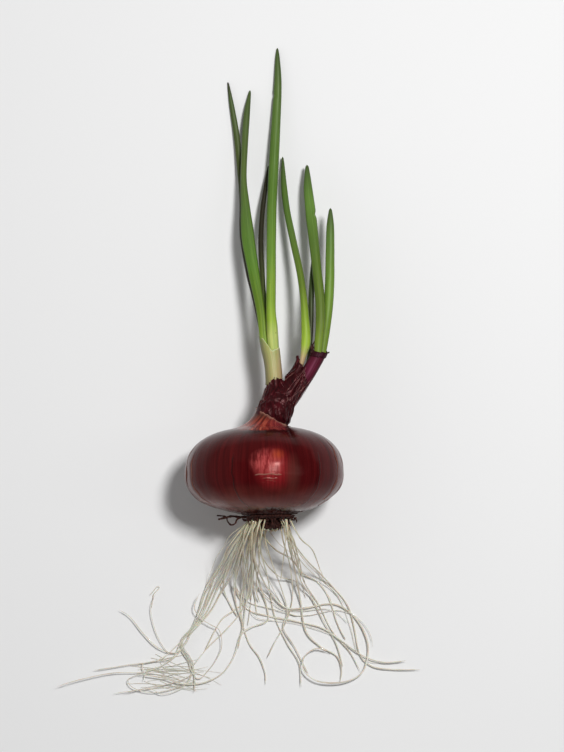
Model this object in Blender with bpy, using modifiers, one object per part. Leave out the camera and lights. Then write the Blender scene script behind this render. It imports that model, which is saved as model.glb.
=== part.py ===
"""A flat red salad onion lifted whole: bulb, dried neck, two shoots of hollow leaves and a beard of roots.

It lies on its side on a table, with its leaves along +Y and its roots along -Y. Seen from above, +X is to the
right. The table is z = 0, and the origin is on the small flat spot under the bulb. Sizes and places are in
millimetres, and metres() turns them into Blender's units.
"""

import math
import random

import bmesh
import bpy
from mathutils import Matrix, Vector

# The bulb: a flattened ball whose axis runs from the root plate to the neck.
BULB_DIAMETER = 78.2
BULB_RISE = 24.2  # from the widest girth up to the shoulder
BULB_DROP = 20.0  # from the widest girth down to the base
UPPER_FULLNESS = 2.6  # exponents of the superellipses above and below the girth: 2 is a plain ellipse
LOWER_FULLNESS = 2.2
AXIS_HEIGHT = 38.0  # the girth's middle above the table: the flat spot takes the last 0.45 mm
AXIS_TILT = math.radians(4.0)  # the neck end leans down towards the table
AXIS_SWING = math.radians(1.3)  # the left flank hangs a little lower than the right one
BULB_STEPS = 48  # facets round the axis
PROFILE_STEPS = 9  # facets along each half of the profile
RIB_COUNT = 14
RIB_HEIGHT = 0.25
RIB_DRIFT = 0.6  # how unevenly the ribs are spaced
# Slow waves that keep the girth from being a true circle: height, waves in a turn, and phase.
UNEVENNESS = [(0.35, 2, 0.8), (0.25, 3, -1.1)]
BASE_RADIUS = 13.8  # the flat base that the root plate sits under
BASE_LEAN = 2.4  # how far the base and the root plate stand to the right of the axis
BASE_LEAN_START = -12.0  # height along the axis where that lean begins

# The skin cone between the shoulder and the dried neck, as radius and height along the axis.
CONE = [(17.5, 23.0), (14.0, 23.8), (11.9, 24.7), (10.0, 26.4), (9.3, 29.0), (9.2, 32.5), (9.2, 37.0)]
CONE_LEAN = 5.9  # how far the cone's top stands to the right of the axis
LEAN_START = 22.0  # height along the axis where the lean begins
LEAN_END = 34.0

GAP = 0.3  # clearance between pieces that touch
WELD_DISTANCE = 0.001
CUT_TOLERANCE = 0.0005
TURN_TOLERANCE = 0.01  # points closer to an axis than this lie on it
SPLINE_STEPS = 20  # straight pieces between two given points when a curve is measured
SHARP_ANGLE = math.radians(40)
UP = Vector((0.0, 0.0, 1.0))

# Planes where one piece ends and the next begins: a point on the plane, and its normal towards the tips.
NECK_SEAM = ((-4.2, 33.2, 36.0), (0.50, 0.86, 0.0))
COLLAR_RIM = ((5.0, 47.6, 35.5), (0.20, 0.98, 0.05))
FORK_MOUTH = ((19.6, 51.5, 33.5), (0.97, 0.25, 0.0))
STALK_MOUTH = ((2.5, 66.0, 33.0), (0.52, 0.85, 0.42))
SCALE_MOUTH = ((27.6, 61.8, 31.6), (0.12, 0.98, 0.10))

# Stations along each tapering piece: x, y and z of its middle, then its width and its depth.
NECK_TRUNK = [
    (1.0, 21.5, 36.9, 24.0, 23.0),
    (2.6, 26.5, 36.6, 20.4, 19.6),
    (4.8, 31.5, 36.3, 18.4, 17.4),
    (6.4, 36.0, 36.0, 17.4, 16.0),
    (6.0, 40.5, 35.8, 13.2, 12.6),
    (5.6, 44.5, 35.6, 9.8, 10.2),
    (5.1, 49.0, 35.3, 9.2, 9.6),
]
NECK_SOCKET = [
    (1.0, 20.5, 36.9, 27.4, 27.0),
    (2.4, 26.5, 36.6, 25.4, 25.4),
    (3.8, 31.5, 36.3, 27.0, 27.0),
    (4.5, 38.0, 36.0, 30.0, 30.0),
    (4.5, 45.0, 35.8, 30.0, 30.0),
]
NECK_BRANCH = [
    (6.0, 33.5, 35.9, 13.5, 13.0),
    (9.6, 38.0, 35.4, 13.6, 12.6),
    (13.6, 43.0, 34.8, 12.2, 11.8),
    (17.2, 48.0, 34.1, 11.6, 11.4),
    (20.6, 53.6, 33.3, 11.4, 10.8),
]
TORN_FLAP = [
    (16.6, 46.0, 37.2, 5.0, 2.4),
    (16.6, 50.5, 37.3, 4.0, 1.8),
    (16.9, 55.0, 36.8, 2.6, 1.2),
    (16.8, 59.5, 36.2, 1.2, 0.8),
]
LEFT_STALK = [
    (5.0, 45.0, 35.6, 8.4, 8.4),
    (4.9, 50.0, 35.1, 8.5, 8.5),
    (4.2, 57.0, 34.0, 8.6, 8.7),
    (3.0, 64.0, 32.9, 9.3, 9.0),
    (2.2, 71.0, 31.6, 10.0, 9.2),
    (1.6, 76.0, 30.6, 10.0, 9.2),
]
PURPLE_SCALE = [
    (17.9, 43.7, 34.3, 6.2, 6.2),
    (21.4, 49.7, 33.7, 7.0, 6.8),
    (24.7, 55.5, 32.8, 7.2, 6.9),
    (27.0, 60.0, 31.9, 7.3, 7.0),
    (28.0, 64.5, 31.2, 7.8, 7.4),
]
LEAVES = {
    "leaf_centre": [
        (5.0, 56.5, 34.9, 5.6, 5.8),
        (4.4, 66.1, 33.0, 5.8, 5.8),
        (3.9, 74.0, 31.1, 5.6, 5.0),
        (3.4, 83.2, 28.8, 4.9, 4.6),
        (3.5, 101.9, 23.2, 4.8, 4.5),
        (3.7, 129.0, 14.6, 4.9, 4.4),
        (4.7, 155.2, 7.9, 5.0, 4.2),
        (5.9, 178.3, 4.2, 4.7, 3.8),
        (6.8, 197.8, 2.2, 4.0, 3.2),
        (6.7, 210.2, 1.3, 2.6, 2.2),
        (6.6, 216.8, 0.6, 0.7, 0.7),
    ],
    "leaf_left_front": [
        (1.2, 58.0, 33.4, 3.0, 2.6),
        (-0.4, 69.0, 33.6, 3.6, 3.0),
        (-1.9, 83.1, 30.8, 4.3, 2.8),
        (-5.2, 101.4, 25.6, 5.6, 2.8),
        (-8.3, 120.2, 20.0, 6.6, 2.9),
        (-9.8, 138.7, 14.4, 4.2, 3.6),
        (-10.5, 150.5, 11.0, 3.1, 3.9),
        (-9.9, 168.5, 6.6, 3.3, 3.4),
        (-8.9, 183.0, 3.6, 3.2, 2.8),
        (-7.3, 195.2, 0.6, 0.7, 0.7),
    ],
    "leaf_left_back": [
        (0.9, 62.1, 31.2, 2.6, 2.2),
        (-0.6, 69.5, 29.4, 2.8, 2.4),
        (-2.1, 77.0, 27.2, 2.9, 2.5),
        (-4.7, 89.3, 23.2, 3.1, 2.7),
        (-7.8, 102.1, 19.0, 3.2, 2.8),
        (-10.9, 120.5, 13.4, 3.1, 2.8),
        (-11.2, 138.4, 8.4, 3.0, 2.8),
        (-12.6, 157.0, 4.2, 3.0, 2.6),
        (-14.2, 172.4, 2.2, 3.0, 2.4),
        (-16.7, 187.7, 1.2, 2.4, 1.9),
        (-18.6, 199.4, 0.6, 0.7, 0.7),
    ],
    "leaf_centre_back": [
        (2.6, 62.1, 30.6, 1.8, 1.8),
        (1.3, 76.2, 26.6, 1.9, 1.8),
        (-0.3, 92.4, 21.4, 2.3, 2.0),
        (-1.7, 114.3, 14.6, 2.8, 2.2),
        (-1.1, 131.3, 9.4, 2.6, 2.2),
        (0.7, 145.7, 5.2, 2.2, 1.9),
        (2.0, 156.6, 2.6, 0.7, 0.7),
    ],
    "leaf_right_inner": [
        (17.2, 49.0, 33.8, 2.0, 2.6),
        (18.7, 55.5, 32.8, 2.4, 3.0),
        (19.9, 60.5, 31.9, 3.3, 3.2),
        (20.9, 65.5, 31.1, 4.8, 3.4),
        (21.0, 71.5, 30.0, 4.7, 3.5),
        (20.6, 78.0, 28.9, 4.2, 3.4),
        (19.9, 88.3, 26.4, 3.6, 3.3),
        (18.0, 102.0, 22.2, 3.4, 3.2),
        (14.9, 116.8, 16.6, 3.5, 3.2),
        (11.6, 132.7, 11.0, 3.4, 3.0),
        (9.9, 147.2, 6.6, 3.0, 2.6),
        (9.3, 161.1, 3.6, 0.7, 0.7),
    ],
    "leaf_right_tall": [
        (26.7, 58.0, 33.6, 3.8, 2.8),
        (27.4, 66.1, 32.6, 4.3, 3.0),
        (28.3, 76.1, 30.6, 4.7, 3.3),
        (28.1, 88.2, 27.6, 4.8, 3.6),
        (26.7, 101.9, 23.8, 4.8, 3.8),
        (25.2, 116.7, 19.2, 5.1, 3.8),
        (23.6, 131.0, 14.6, 5.3, 3.6),
        (22.2, 144.4, 10.6, 4.4, 3.2),
        (21.7, 156.8, 7.4, 0.7, 0.7),
    ],
    "leaf_right_short": [
        (28.9, 58.5, 29.8, 3.6, 2.6),
        (30.1, 66.1, 28.9, 4.0, 2.9),
        (31.7, 78.2, 27.0, 4.5, 3.3),
        (32.9, 94.3, 24.4, 4.8, 3.6),
        (33.2, 109.5, 22.0, 4.5, 3.4),
        (33.4, 124.2, 20.0, 3.9, 3.0),
        (33.5, 134.3, 18.8, 0.7, 0.7),
    ],
    "leaf_right_back": [
        (18.8, 46.0, 29.2, 1.8, 1.4),
        (20.9, 52.5, 28.6, 1.8, 1.4),
        (22.7, 60.1, 26.9, 2.0, 1.8),
        (23.5, 72.7, 24.6, 2.5, 2.0),
        (23.7, 87.9, 21.6, 3.0, 2.2),
        (24.3, 101.6, 18.4, 2.4, 2.0),
        (24.8, 112.3, 15.6, 0.7, 0.7),
    ],
}
LEAF_SIDES = 8
LEAF_SPACING = 7.5  # between rings along a leaf
BACK_LEAVES = ("leaf_left_back", "leaf_centre_back", "leaf_right_back")
SHEATH_SPACING = 3.5
SHEATH_SIDES = 16
NECK_SIDES = 20
WRINKLE_COUNT = 7
WRINKLE_WIND = 3.0
BROAD_FOLDS = 3
BROAD_WIND = 9.0
WRINKLE_DEPTH = 0.035  # as a share of the neck's width

# The root plate, as a turned profile of radius and height along the axis, and the pale ring round its boss.
PLATE_TOP = -BULB_DROP - GAP
PLATE_PROFILE = [(0.0, PLATE_TOP), (12.8, PLATE_TOP), (13.2, -20.9), (12.0, -21.6), (7.7, -21.8),
                 (7.4, -25.0), (5.8, -26.6), (0.0, -27.2)]
PLATE_STEPS = 28
CROWN_INNER = 8.0
CROWN_OUTER = 11.8
CROWN_RIM = -23.2
CROWN_TOP = -22.1
CROWN_BOTTOM = -24.6
CROWN_BULGE = 0.3  # the ring is a little wider at its rim and narrower at its bottom
CROWN_TAPER = 0.8
DRIED_ROOT_WIDTH = 1.1
DRIED_ROOT_SIDES = 5
DRIED_ROOT_SPACING = 1.6
DRIED_ROOT_LEVEL = 0.6  # height of the dried roots over the middle of the plate
DRIED_ROOT_CURL = 1.6  # how far the second one curls up over the first
DRIED_ROOTS = [
    [(-9.0, -21.0), (-13.0, -20.9), (-16.0, -20.6), (-19.5, -21.3), (-23.0, -22.2)],
    [(-10.5, -21.0), (-13.3, -22.0), (-14.4, -24.2), (-16.5, -24.9), (-18.2, -23.2), (-19.2, -20.9),
     (-23.6, -20.2)],
]

# Roots. Each route is a line of points on the table's plane, from the root plate out to the tip.
ROOT_WIDTH = 1.05
ROOT_SIDES = 3
ROOT_SPACING = 5.0
ROOT_TAPER = 0.35  # share of its width that a root has lost at its tip
ROOT_FAN = 14.0  # half the width over which the roots set off
ROOT_SINK = 1.2  # how deep a root starts inside the ring
ROOT_REST = 0.55  # share of its width at which a root lies over the table
TABLE_REACH = 46.0  # length over which a root sinks from the plate to the table
LAYER_STEP = 0.9  # how far one layer of crossing roots lies above the next
LAYERS = 3
LAYER_WAVE = 17.0  # length of root over which it rises over its neighbours and sinks again
LAYER_PHASE = 2.1
LONG_COIL = 100.0  # length on the table from which a root climbs fully
COIL_RISE = 2.6  # how far a long root climbs over itself and its neighbours by its tip
ROOT_SPREAD = 1.3  # how far a root lies beside the line that it shares with its neighbours
ROOT_LIFT = 0.4
SEED = 11
# The left tuft spreads before it gathers at the knee: how far, which way, and the share at each point.
FAN_REACH = 4.2
FAN_TURN = 2.4
FAN_SIDE = (0.9, -0.45)
FAN_SHARES = (0.45, 0.9, 1.0, 0.8, 0.35, 0.1)

LEFT_TUFT = [(-12.1, -33.4), (-19.4, -48.9), (-25.7, -60.1), (-29.8, -69.3), (-35.4, -78.0)]
KNEE = LEFT_TUFT + [(-41.5, -84.1), (-42.0, -89.2), (-38.4, -94.8), (-36.4, -100.4)]
MIDDLE_TUFT = [(-11.1, -36.5), (-14.3, -49.3), (-15.4, -59.9), (-14.5, -68.3), (-11.6, -78.0)]
CENTRE_TUFT = [(-4.5, -29.1), (-6.1, -38.4), (-3.6, -49.0)]
RIGHT_TUFT = [(13.0, -30.3), (16.6, -43.0), (19.2, -54.7)]
ROOT_ROUTES = {
    "knee": KNEE + [(-36.1, -106.6), (-36.5, -111.1)],
    "knee_outer": [(-17.2, -34.6), (-22.4, -45.3), (-26.6, -54.4), (-29.1, -63.7), (-32.8, -73.4),
                   (-41.0, -83.1)],
    "knee_curl": KNEE + [(-32.8, -104.0), (-28.2, -99.4), (-24.1, -93.3), (-21.6, -86.7), (-22.6, -79.0),
                         (-27.2, -76.0), (-31.8, -72.9), (-35.1, -67.8), (-32.8, -60.7)],
    "elbow": [(-6.6, -35.3), (-6.2, -51.2), (-8.3, -63.5), (-15.5, -69.3), (-22.1, -73.9), (-26.7, -81.6),
              (-30.8, -90.7)],
    "slant": [(-5.1, -38.4), (-6.2, -53.4), (-9.9, -67.8), (-18.0, -78.5), (-27.7, -88.7), (-34.9, -97.9)],
    "big_arc": MIDDLE_TUFT + [(-13.4, -85.6), (-16.0, -94.8), (-21.6, -103.0), (-31.3, -107.9),
                              (-42.5, -108.1), (-52.2, -104.8), (-63.4, -102.6)],
    "right_runner": [(-9.1, -32.8), (-13.2, -46.0), (-13.9, -58.8), (-8.3, -69.8), (2.9, -73.4),
                     (18.2, -76.0), (30.4, -79.0), (39.6, -85.6), (49.8, -92.8), (61.0, -96.7),
                     (72.2, -95.8)],
    "back_hook": [(-7.1, -35.3), (-3.7, -53.3), (0.3, -68.3), (0.3, -74.4), (-7.3, -77.3), (-12.4, -81.1),
                  (-14.1, -88.7)],
    "ring": CENTRE_TUFT + [(2.4, -60.3), (10.5, -68.3), (20.2, -68.8), (35.0, -66.8), (45.7, -73.9),
                           (51.8, -86.7), (49.8, -100.4), (40.6, -106.3), (27.4, -106.0), (19.5, -100.4),
                           (19.2, -93.3), (25.3, -88.7), (33.5, -90.7)],
    "crossing": [(-1.0, -28.5), (6.0, -37.9), (14.0, -43.4), (19.7, -51.0), (27.9, -56.0), (33.5, -63.7),
                 (37.6, -75.4), (42.1, -84.6)],
    "short_strand": [(-3.0, -35.2), (-0.1, -44.7), (6.0, -51.7), (13.1, -54.0)],
    "straight_drop": [(0.5, -32.1), (4.5, -45.8), (9.0, -59.8), (11.5, -71.4), (9.5, -79.5), (16.1, -89.7),
                      (22.8, -102.5)],
    "long_diagonal": [(-2.5, -36.3), (0.9, -53.3), (3.9, -72.4), (10.5, -86.7), (17.2, -97.9),
                      (18.2, -110.1)],
    "hook_left": [(9.5, -32.3), (13.0, -46.0), (14.7, -62.0), (11.5, -74.9), (4.9, -86.2), (1.4, -92.8)],
    "s_bend": [(12.0, -33.4), (16.1, -51.4), (18.7, -67.3), (20.7, -81.1), (27.9, -88.7), (37.0, -93.8),
               (39.6, -100.9), (39.0, -107.1)],
    "outer_right": RIGHT_TUFT[:1] + [(20.1, -41.0), (30.4, -52.9), (41.1, -65.8), (45.2, -78.0),
                                     (48.3, -91.3), (54.9, -97.4), (65.1, -99.2), (78.9, -99.5)],
    "thin_right": [(17.6, -32.1), (23.7, -38.1), (27.8, -48.2)],
    "right_fan_1": RIGHT_TUFT + [(24.8, -63.7), (30.9, -76.5), (37.0, -87.7), (40.1, -98.9)],
    "right_fan_2": RIGHT_TUFT + [(27.4, -66.8), (34.5, -80.5), (42.7, -90.7), (47.8, -100.9)],
    "cluster_loop": KNEE[:6] + [(-46.6, -93.3), (-57.3, -95.6), (-61.9, -97.4), (-60.4, -102.5),
                                (-61.4, -106.0)],
    "far_left": LEFT_TUFT + [(-39.4, -86.2), (-47.1, -94.8), (-59.3, -100.4), (-76.7, -101.1),
                             (-92.0, -104.5), (-104.7, -108.1)],
    "far_left_2": LEFT_TUFT + [(-42.5, -87.7), (-53.2, -96.4), (-69.5, -98.7), (-85.9, -100.9)],
    "curl_back": LEFT_TUFT[:4] + [(-37.9, -82.6), (-44.0, -91.8), (-53.2, -89.2), (-61.4, -81.6),
                                  (-68.0, -73.9), (-73.6, -70.3)],
    "curl_up": LEFT_TUFT[:4] + [(-38.9, -87.2), (-47.1, -91.8), (-54.2, -82.6), (-57.7, -69.8),
                                (-55.3, -61.7)],
    "table_loop": KNEE + [(-40.0, -108.6), (-55.3, -113.0), (-66.0, -110.6), (-69.0, -106.0),
                          (-61.9, -102.8), (-53.2, -102.0)],
    "table_fan_1": KNEE + [(-44.0, -105.0), (-58.3, -108.9), (-76.7, -111.5)],
    "table_fan_2": KNEE + [(-41.5, -110.1), (-51.7, -113.4), (-59.3, -110.3), (-71.6, -112.2)],
    "front_arc": [(-7.6, -36.3), (-10.8, -54.5), (-12.4, -69.3), (-8.3, -85.1), (-2.7, -93.8),
                  (0.1, -101.5), (0.3, -107.6)],
    "inner_left": [(-13.1, -34.5), (-18.9, -49.4), (-20.5, -59.0), (-16.5, -68.3), (-12.9, -73.9)],
    "inner_middle": [(-3.0, -33.1), (-2.6, -45.8), (-4.2, -58.7), (-2.7, -66.2)],
}

# Colour and roughness of each material.
FINISHES = {
    "bulb_skin": ((0.075, 0.006, 0.008), 0.28),
    "dry_neck": ((0.040, 0.006, 0.010), 0.35),
    "purple_scale": ((0.140, 0.022, 0.055), 0.35),
    "stalk": ((0.42, 0.40, 0.16), 0.40),
    "leaf": ((0.130, 0.240, 0.045), 0.38),
    "leaf_back": ((0.060, 0.120, 0.030), 0.38),
    "root_plate": ((0.050, 0.022, 0.016), 0.80),
    "root": ((0.60, 0.56, 0.43), 0.50),
}


def metres(length):
    return length * 0.001


def millimetres(length):
    return length * 1000.0


def clear_scene():
    for obj in list(bpy.data.objects):
        bpy.data.objects.remove(obj)


def new_collection(name):
    collection = bpy.data.collections.new(name)
    bpy.context.scene.collection.children.link(collection)
    return collection


def make_material(name):
    colour, roughness = FINISHES[name]
    material = bpy.data.materials.new(name)
    material.use_nodes = True
    shader = material.node_tree.nodes["Principled BSDF"]
    shader.inputs["Base Color"].default_value = (*colour, 1.0)
    shader.inputs["Roughness"].default_value = roughness
    shader.inputs["Metallic"].default_value = 0.0
    return material


def make_object(name, mesh, collection, material):
    obj = bpy.data.objects.new(name, mesh)
    collection.objects.link(obj)
    mesh.materials.clear()
    mesh.materials.append(material)
    mesh.shade_smooth()
    mesh.set_sharp_from_angle(angle=SHARP_ANGLE)
    return obj


def welded(mesh):
    """The mesh with its doubled points joined and its faces turned outwards."""
    shape = bmesh.new()
    shape.from_mesh(mesh)
    bmesh.ops.remove_doubles(shape, verts=shape.verts, dist=metres(WELD_DISTANCE))
    bmesh.ops.recalc_face_normals(shape, faces=shape.faces)
    shape.to_mesh(mesh)
    shape.free()
    return mesh


def between(a, b, c, d, t):
    """The value at share t of the way from b to c, on a smooth curve that comes from a and goes on to d."""
    slope = c - a
    bend = 2 * a - 5 * b + 4 * c - d
    twist = 3 * b - a - 3 * c + d
    return 0.5 * (2 * b + slope * t + bend * t * t + twist * t ** 3)


def spline_through(points, spacing):
    """Places along a smooth curve through the points, evenly spaced. Each point is a tuple of any length."""
    fine = []
    ends = [points[0], *points, points[-1]]
    for before, start, end, after in zip(ends, ends[1:], ends[2:], ends[3:]):
        for step in range(SPLINE_STEPS):
            t = step / SPLINE_STEPS
            fine.append(tuple(between(a, b, c, d, t) for a, b, c, d in zip(before, start, end, after)))
    fine.append(tuple(points[-1]))
    lengths = [0.0]
    for a, b in zip(fine, fine[1:]):
        lengths.append(lengths[-1] + math.dist(a[:3], b[:3]))
    count = max(3, round(lengths[-1] / spacing))
    places, index = [], 0
    for step in range(count + 1):
        target = lengths[-1] * step / count
        while index < len(fine) - 2 and lengths[index + 1] < target:
            index += 1
        share = (target - lengths[index]) / max(lengths[index + 1] - lengths[index], 1e-9)
        places.append(tuple(a + (b - a) * min(share, 1.0) for a, b in zip(fine[index], fine[index + 1])))
    return places


def loft(stations, sides, spacing, relief=None):
    """A closed mesh through oval rings. relief(turn, along) gives a share to add to a ring's size."""
    places = spline_through(stations, spacing)
    centres = [Vector(place[:3]) for place in places]
    shape = bmesh.new()
    rings = []
    for index, (centre, place) in enumerate(zip(centres, places)):
        ahead = centres[min(index + 1, len(centres) - 1)]
        behind = centres[max(index - 1, 0)]
        tangent = (ahead - behind).normalized()
        across = tangent.cross(UP).normalized()
        outward = across.cross(tangent)
        along = index / (len(centres) - 1)
        ring = []
        for side in range(sides):
            turn = 2 * math.pi * side / sides
            swell = 1 + (relief(turn, along) if relief else 0.0)
            offset = across * (math.cos(turn) * place[3] / 2) + outward * (math.sin(turn) * place[4] / 2)
            point = centre + offset * swell
            point.z = max(point.z, 0.0)
            ring.append(shape.verts.new(metres(point)))
        rings.append(ring)
    for near, far in zip(rings, rings[1:]):
        for side in range(sides):
            following = (side + 1) % sides
            shape.faces.new((near[side], far[side], far[following], near[following]))
    shape.faces.new(rings[0])
    shape.faces.new(reversed(rings[-1]))
    bmesh.ops.recalc_face_normals(shape, faces=shape.faces)
    mesh = bpy.data.meshes.new("loft")
    shape.to_mesh(mesh)
    shape.free()
    return mesh


def trim(mesh, plane, keep_tip_side, shift=0.0):
    """Cuts the mesh flat at the plane, moved along its normal by shift, and closes the cut."""
    point, normal = Vector(plane[0]), Vector(plane[1]).normalized()
    shape = bmesh.new()
    shape.from_mesh(mesh)
    cut = bmesh.ops.bisect_plane(
        shape, geom=[*shape.verts, *shape.edges, *shape.faces], dist=metres(CUT_TOLERANCE),
        plane_co=metres(point + normal * shift), plane_no=normal,
        clear_inner=keep_tip_side, clear_outer=not keep_tip_side)
    edges = [piece for piece in cut["geom_cut"] if isinstance(piece, bmesh.types.BMEdge)]
    bmesh.ops.edgeloop_fill(shape, edges=edges)
    bmesh.ops.recalc_face_normals(shape, faces=shape.faces)
    shape.to_mesh(mesh)
    shape.free()
    return mesh


def largest_body(mesh):
    """The mesh without the specks that a union leaves where strands only graze each other."""
    shape = bmesh.new()
    shape.from_mesh(mesh)
    waiting = set(shape.faces)
    bodies = []
    while waiting:
        body, edge_of_body = set(), [waiting.pop()]
        while edge_of_body:
            face = edge_of_body.pop()
            body.add(face)
            for edge in face.edges:
                for neighbour in edge.link_faces:
                    if neighbour in waiting:
                        waiting.remove(neighbour)
                        edge_of_body.append(neighbour)
        bodies.append(body)
    bodies.sort(key=len)
    specks = [face for body in bodies[:-1] for face in body]
    bmesh.ops.delete(shape, geom=specks, context="FACES")
    shape.to_mesh(mesh)
    shape.free()
    return mesh


def join_solids(name, meshes, collection, material):
    """One body from meshes that overlap, by a Boolean union of the first with all the others."""
    body = make_object(name, meshes[0], collection, material)
    added = new_collection(name + "_added")
    for mesh in meshes[1:]:
        make_object(name + "_piece", mesh, added, material)
    union = body.modifiers.new("Join", "BOOLEAN")
    union.operation = "UNION"
    union.operand_type = "COLLECTION"
    union.collection = added
    union.solver = "MANIFOLD"
    bpy.context.view_layer.update()
    joined = bpy.data.meshes.new_from_object(body.evaluated_get(bpy.context.evaluated_depsgraph_get()))
    body.modifiers.clear()
    body.data = largest_body(joined)
    for piece in list(added.objects):
        bpy.data.objects.remove(piece)
    bpy.data.collections.remove(added)
    return body


def cut_away(body, mesh):
    """Takes the mesh's volume out of the body with a Boolean difference."""
    cutters = new_collection("cutters")
    cutter = bpy.data.objects.new(body.name + "_cutter", mesh)
    cutters.objects.link(cutter)
    cutter.hide_render = True
    cutter.display_type = "WIRE"
    cut = body.modifiers.new("Cut", "BOOLEAN")
    cut.operation = "DIFFERENCE"
    cut.solver = "EXACT"
    cut.object = cutter


def axis_frame():
    """From the bulb's own frame, with its axis along Z, to the table's frame, in millimetres."""
    tilt = Matrix.Rotation(-math.pi / 2 - AXIS_TILT, 4, "X")
    swing = Matrix.Rotation(AXIS_SWING, 4, "Z")
    return Matrix.Translation((0.0, 0.0, AXIS_HEIGHT)) @ swing @ tilt


def turned(profile, steps):
    """A closed solid of revolution about Z from a profile of radius and height, listed from top to bottom."""
    guide = bpy.data.meshes.new("profile")
    points = [(metres(radius), 0.0, metres(height)) for radius, height in profile]
    guide.from_pydata(points, [(i, i + 1) for i in range(len(points) - 1)], [])
    holder = bpy.data.objects.new("profile", guide)
    bpy.context.scene.collection.objects.link(holder)
    screw = holder.modifiers.new("Turn", "SCREW")
    screw.axis = "Z"
    screw.steps = screw.render_steps = steps
    screw.use_merge_vertices = True
    screw.merge_threshold = metres(TURN_TOLERANCE)
    bpy.context.view_layer.update()
    mesh = bpy.data.meshes.new_from_object(holder.evaluated_get(bpy.context.evaluated_depsgraph_get()))
    bpy.data.objects.remove(holder)
    return welded(mesh)


def placed_on_axis(mesh, aside=0.0):
    """Moves a mesh from the bulb's own frame to the table's frame, aside by that much from the axis."""
    frame = axis_frame() @ Matrix.Translation((aside, 0.0, 0.0))
    for vertex in mesh.vertices:
        vertex.co = metres(frame @ millimetres(vertex.co))
    return mesh


def bulb_profile():
    """Radius and height from the top of the skin cone, round the girth, to the middle of the base."""
    girth = BULB_DIAMETER / 2
    profile = [(0.0, CONE[-1][1])] + list(reversed(CONE))
    first_upper = math.acos((CONE[0][0] / girth) ** (UPPER_FULLNESS / 2))
    for step in range(1, PROFILE_STEPS + 1):
        turn = first_upper * (1 - step / PROFILE_STEPS)
        profile.append((girth * math.cos(turn) ** (2 / UPPER_FULLNESS),
                        BULB_RISE * math.sin(turn) ** (2 / UPPER_FULLNESS)))
    last_lower = math.acos((BASE_RADIUS / girth) ** (LOWER_FULLNESS / 2))
    for step in range(1, PROFILE_STEPS + 1):
        turn = last_lower * step / PROFILE_STEPS
        profile.append((girth * math.cos(turn) ** (2 / LOWER_FULLNESS),
                        -BULB_DROP * math.sin(turn) ** (2 / LOWER_FULLNESS)))
    profile[-1] = (BASE_RADIUS, -BULB_DROP)
    return profile + [(0.0, -BULB_DROP)]


def eased(share):
    """0 below 0, 1 above 1 and a soft step between."""
    share = min(1.0, max(0.0, share))
    return share * share * (3 - 2 * share)


def lean_at(height):
    """How far the middle of the bulb stands to the right of its axis: at the cone, and at the base."""
    cone = eased((height - LEAN_START) / (LEAN_END - LEAN_START))
    base = eased((BASE_LEAN_START - height) / (BULB_DROP + BASE_LEAN_START))
    return CONE_LEAN * cone + BASE_LEAN * base


def shape_bulb_skin(mesh):
    """Raises low ribs over the bulb, makes it slightly uneven, and leans its cone and base to the right."""
    girth = BULB_DIAMETER / 2
    for vertex in mesh.vertices:
        x, y, height = millimetres(vertex.co)
        radius = math.hypot(x, y)
        grown = 1.0
        if radius > TURN_TOLERANCE and abs(height) < BULB_DROP - TURN_TOLERANCE:
            turn = math.atan2(y, x)
            swell = RIB_HEIGHT * math.cos(RIB_COUNT * turn + RIB_DRIFT * math.sin(2 * turn))
            for rise, waves, phase in UNEVENNESS:
                swell += rise * math.cos(waves * turn + phase)
            grown += swell * min(1.0, radius / girth) / radius
        vertex.co = metres(Vector((x * grown + lean_at(height), y * grown, height)))


def build_bulb(collection):
    mesh = turned(bulb_profile(), BULB_STEPS)
    shape_bulb_skin(mesh)
    placed_on_axis(mesh)
    trim(mesh, ((0.0, 0.0, 0.0), (0.0, 0.0, 1.0)), keep_tip_side=True)
    bulb = make_object("bulb", mesh, collection, make_material("bulb_skin"))
    cut_away(bulb, trim(loft(NECK_SOCKET, NECK_SIDES, SHEATH_SPACING), NECK_SEAM, keep_tip_side=True))


def neck_wrinkles(turn, along):
    """Folds that run up the dried neck and wind slowly round it, some to the left and some to the right."""
    fine = math.cos(WRINKLE_COUNT * turn + WRINKLE_WIND * along)
    broad = math.cos(BROAD_FOLDS * turn - BROAD_WIND * along)
    return WRINKLE_DEPTH * (fine + 0.5 * broad)


def build_neck(collection):
    trunk = loft(NECK_TRUNK, NECK_SIDES, SHEATH_SPACING, neck_wrinkles)
    trim(trunk, NECK_SEAM, keep_tip_side=True, shift=GAP)
    trim(trunk, COLLAR_RIM, keep_tip_side=False)
    branch = loft(NECK_BRANCH, NECK_SIDES, SHEATH_SPACING, neck_wrinkles)
    trim(branch, FORK_MOUTH, keep_tip_side=False)
    flap = loft(TORN_FLAP, LEAF_SIDES, SHEATH_SPACING)
    join_solids("dry_neck", [trunk, branch, flap], collection, make_material("dry_neck"))


def build_sheaths(collection):
    """The pale stalk of the left shoot, and the purple scale that wraps the right one."""
    stalk = loft(LEFT_STALK, SHEATH_SIDES, SHEATH_SPACING)
    trim(stalk, COLLAR_RIM, keep_tip_side=True, shift=GAP)
    trim(stalk, STALK_MOUTH, keep_tip_side=False)
    make_object("left_stalk", stalk, collection, make_material("stalk"))
    scale = loft(PURPLE_SCALE, SHEATH_SIDES, SHEATH_SPACING)
    trim(scale, FORK_MOUTH, keep_tip_side=True, shift=GAP)
    trim(scale, SCALE_MOUTH, keep_tip_side=False)
    make_object("purple_scale", scale, collection, make_material("purple_scale"))


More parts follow.
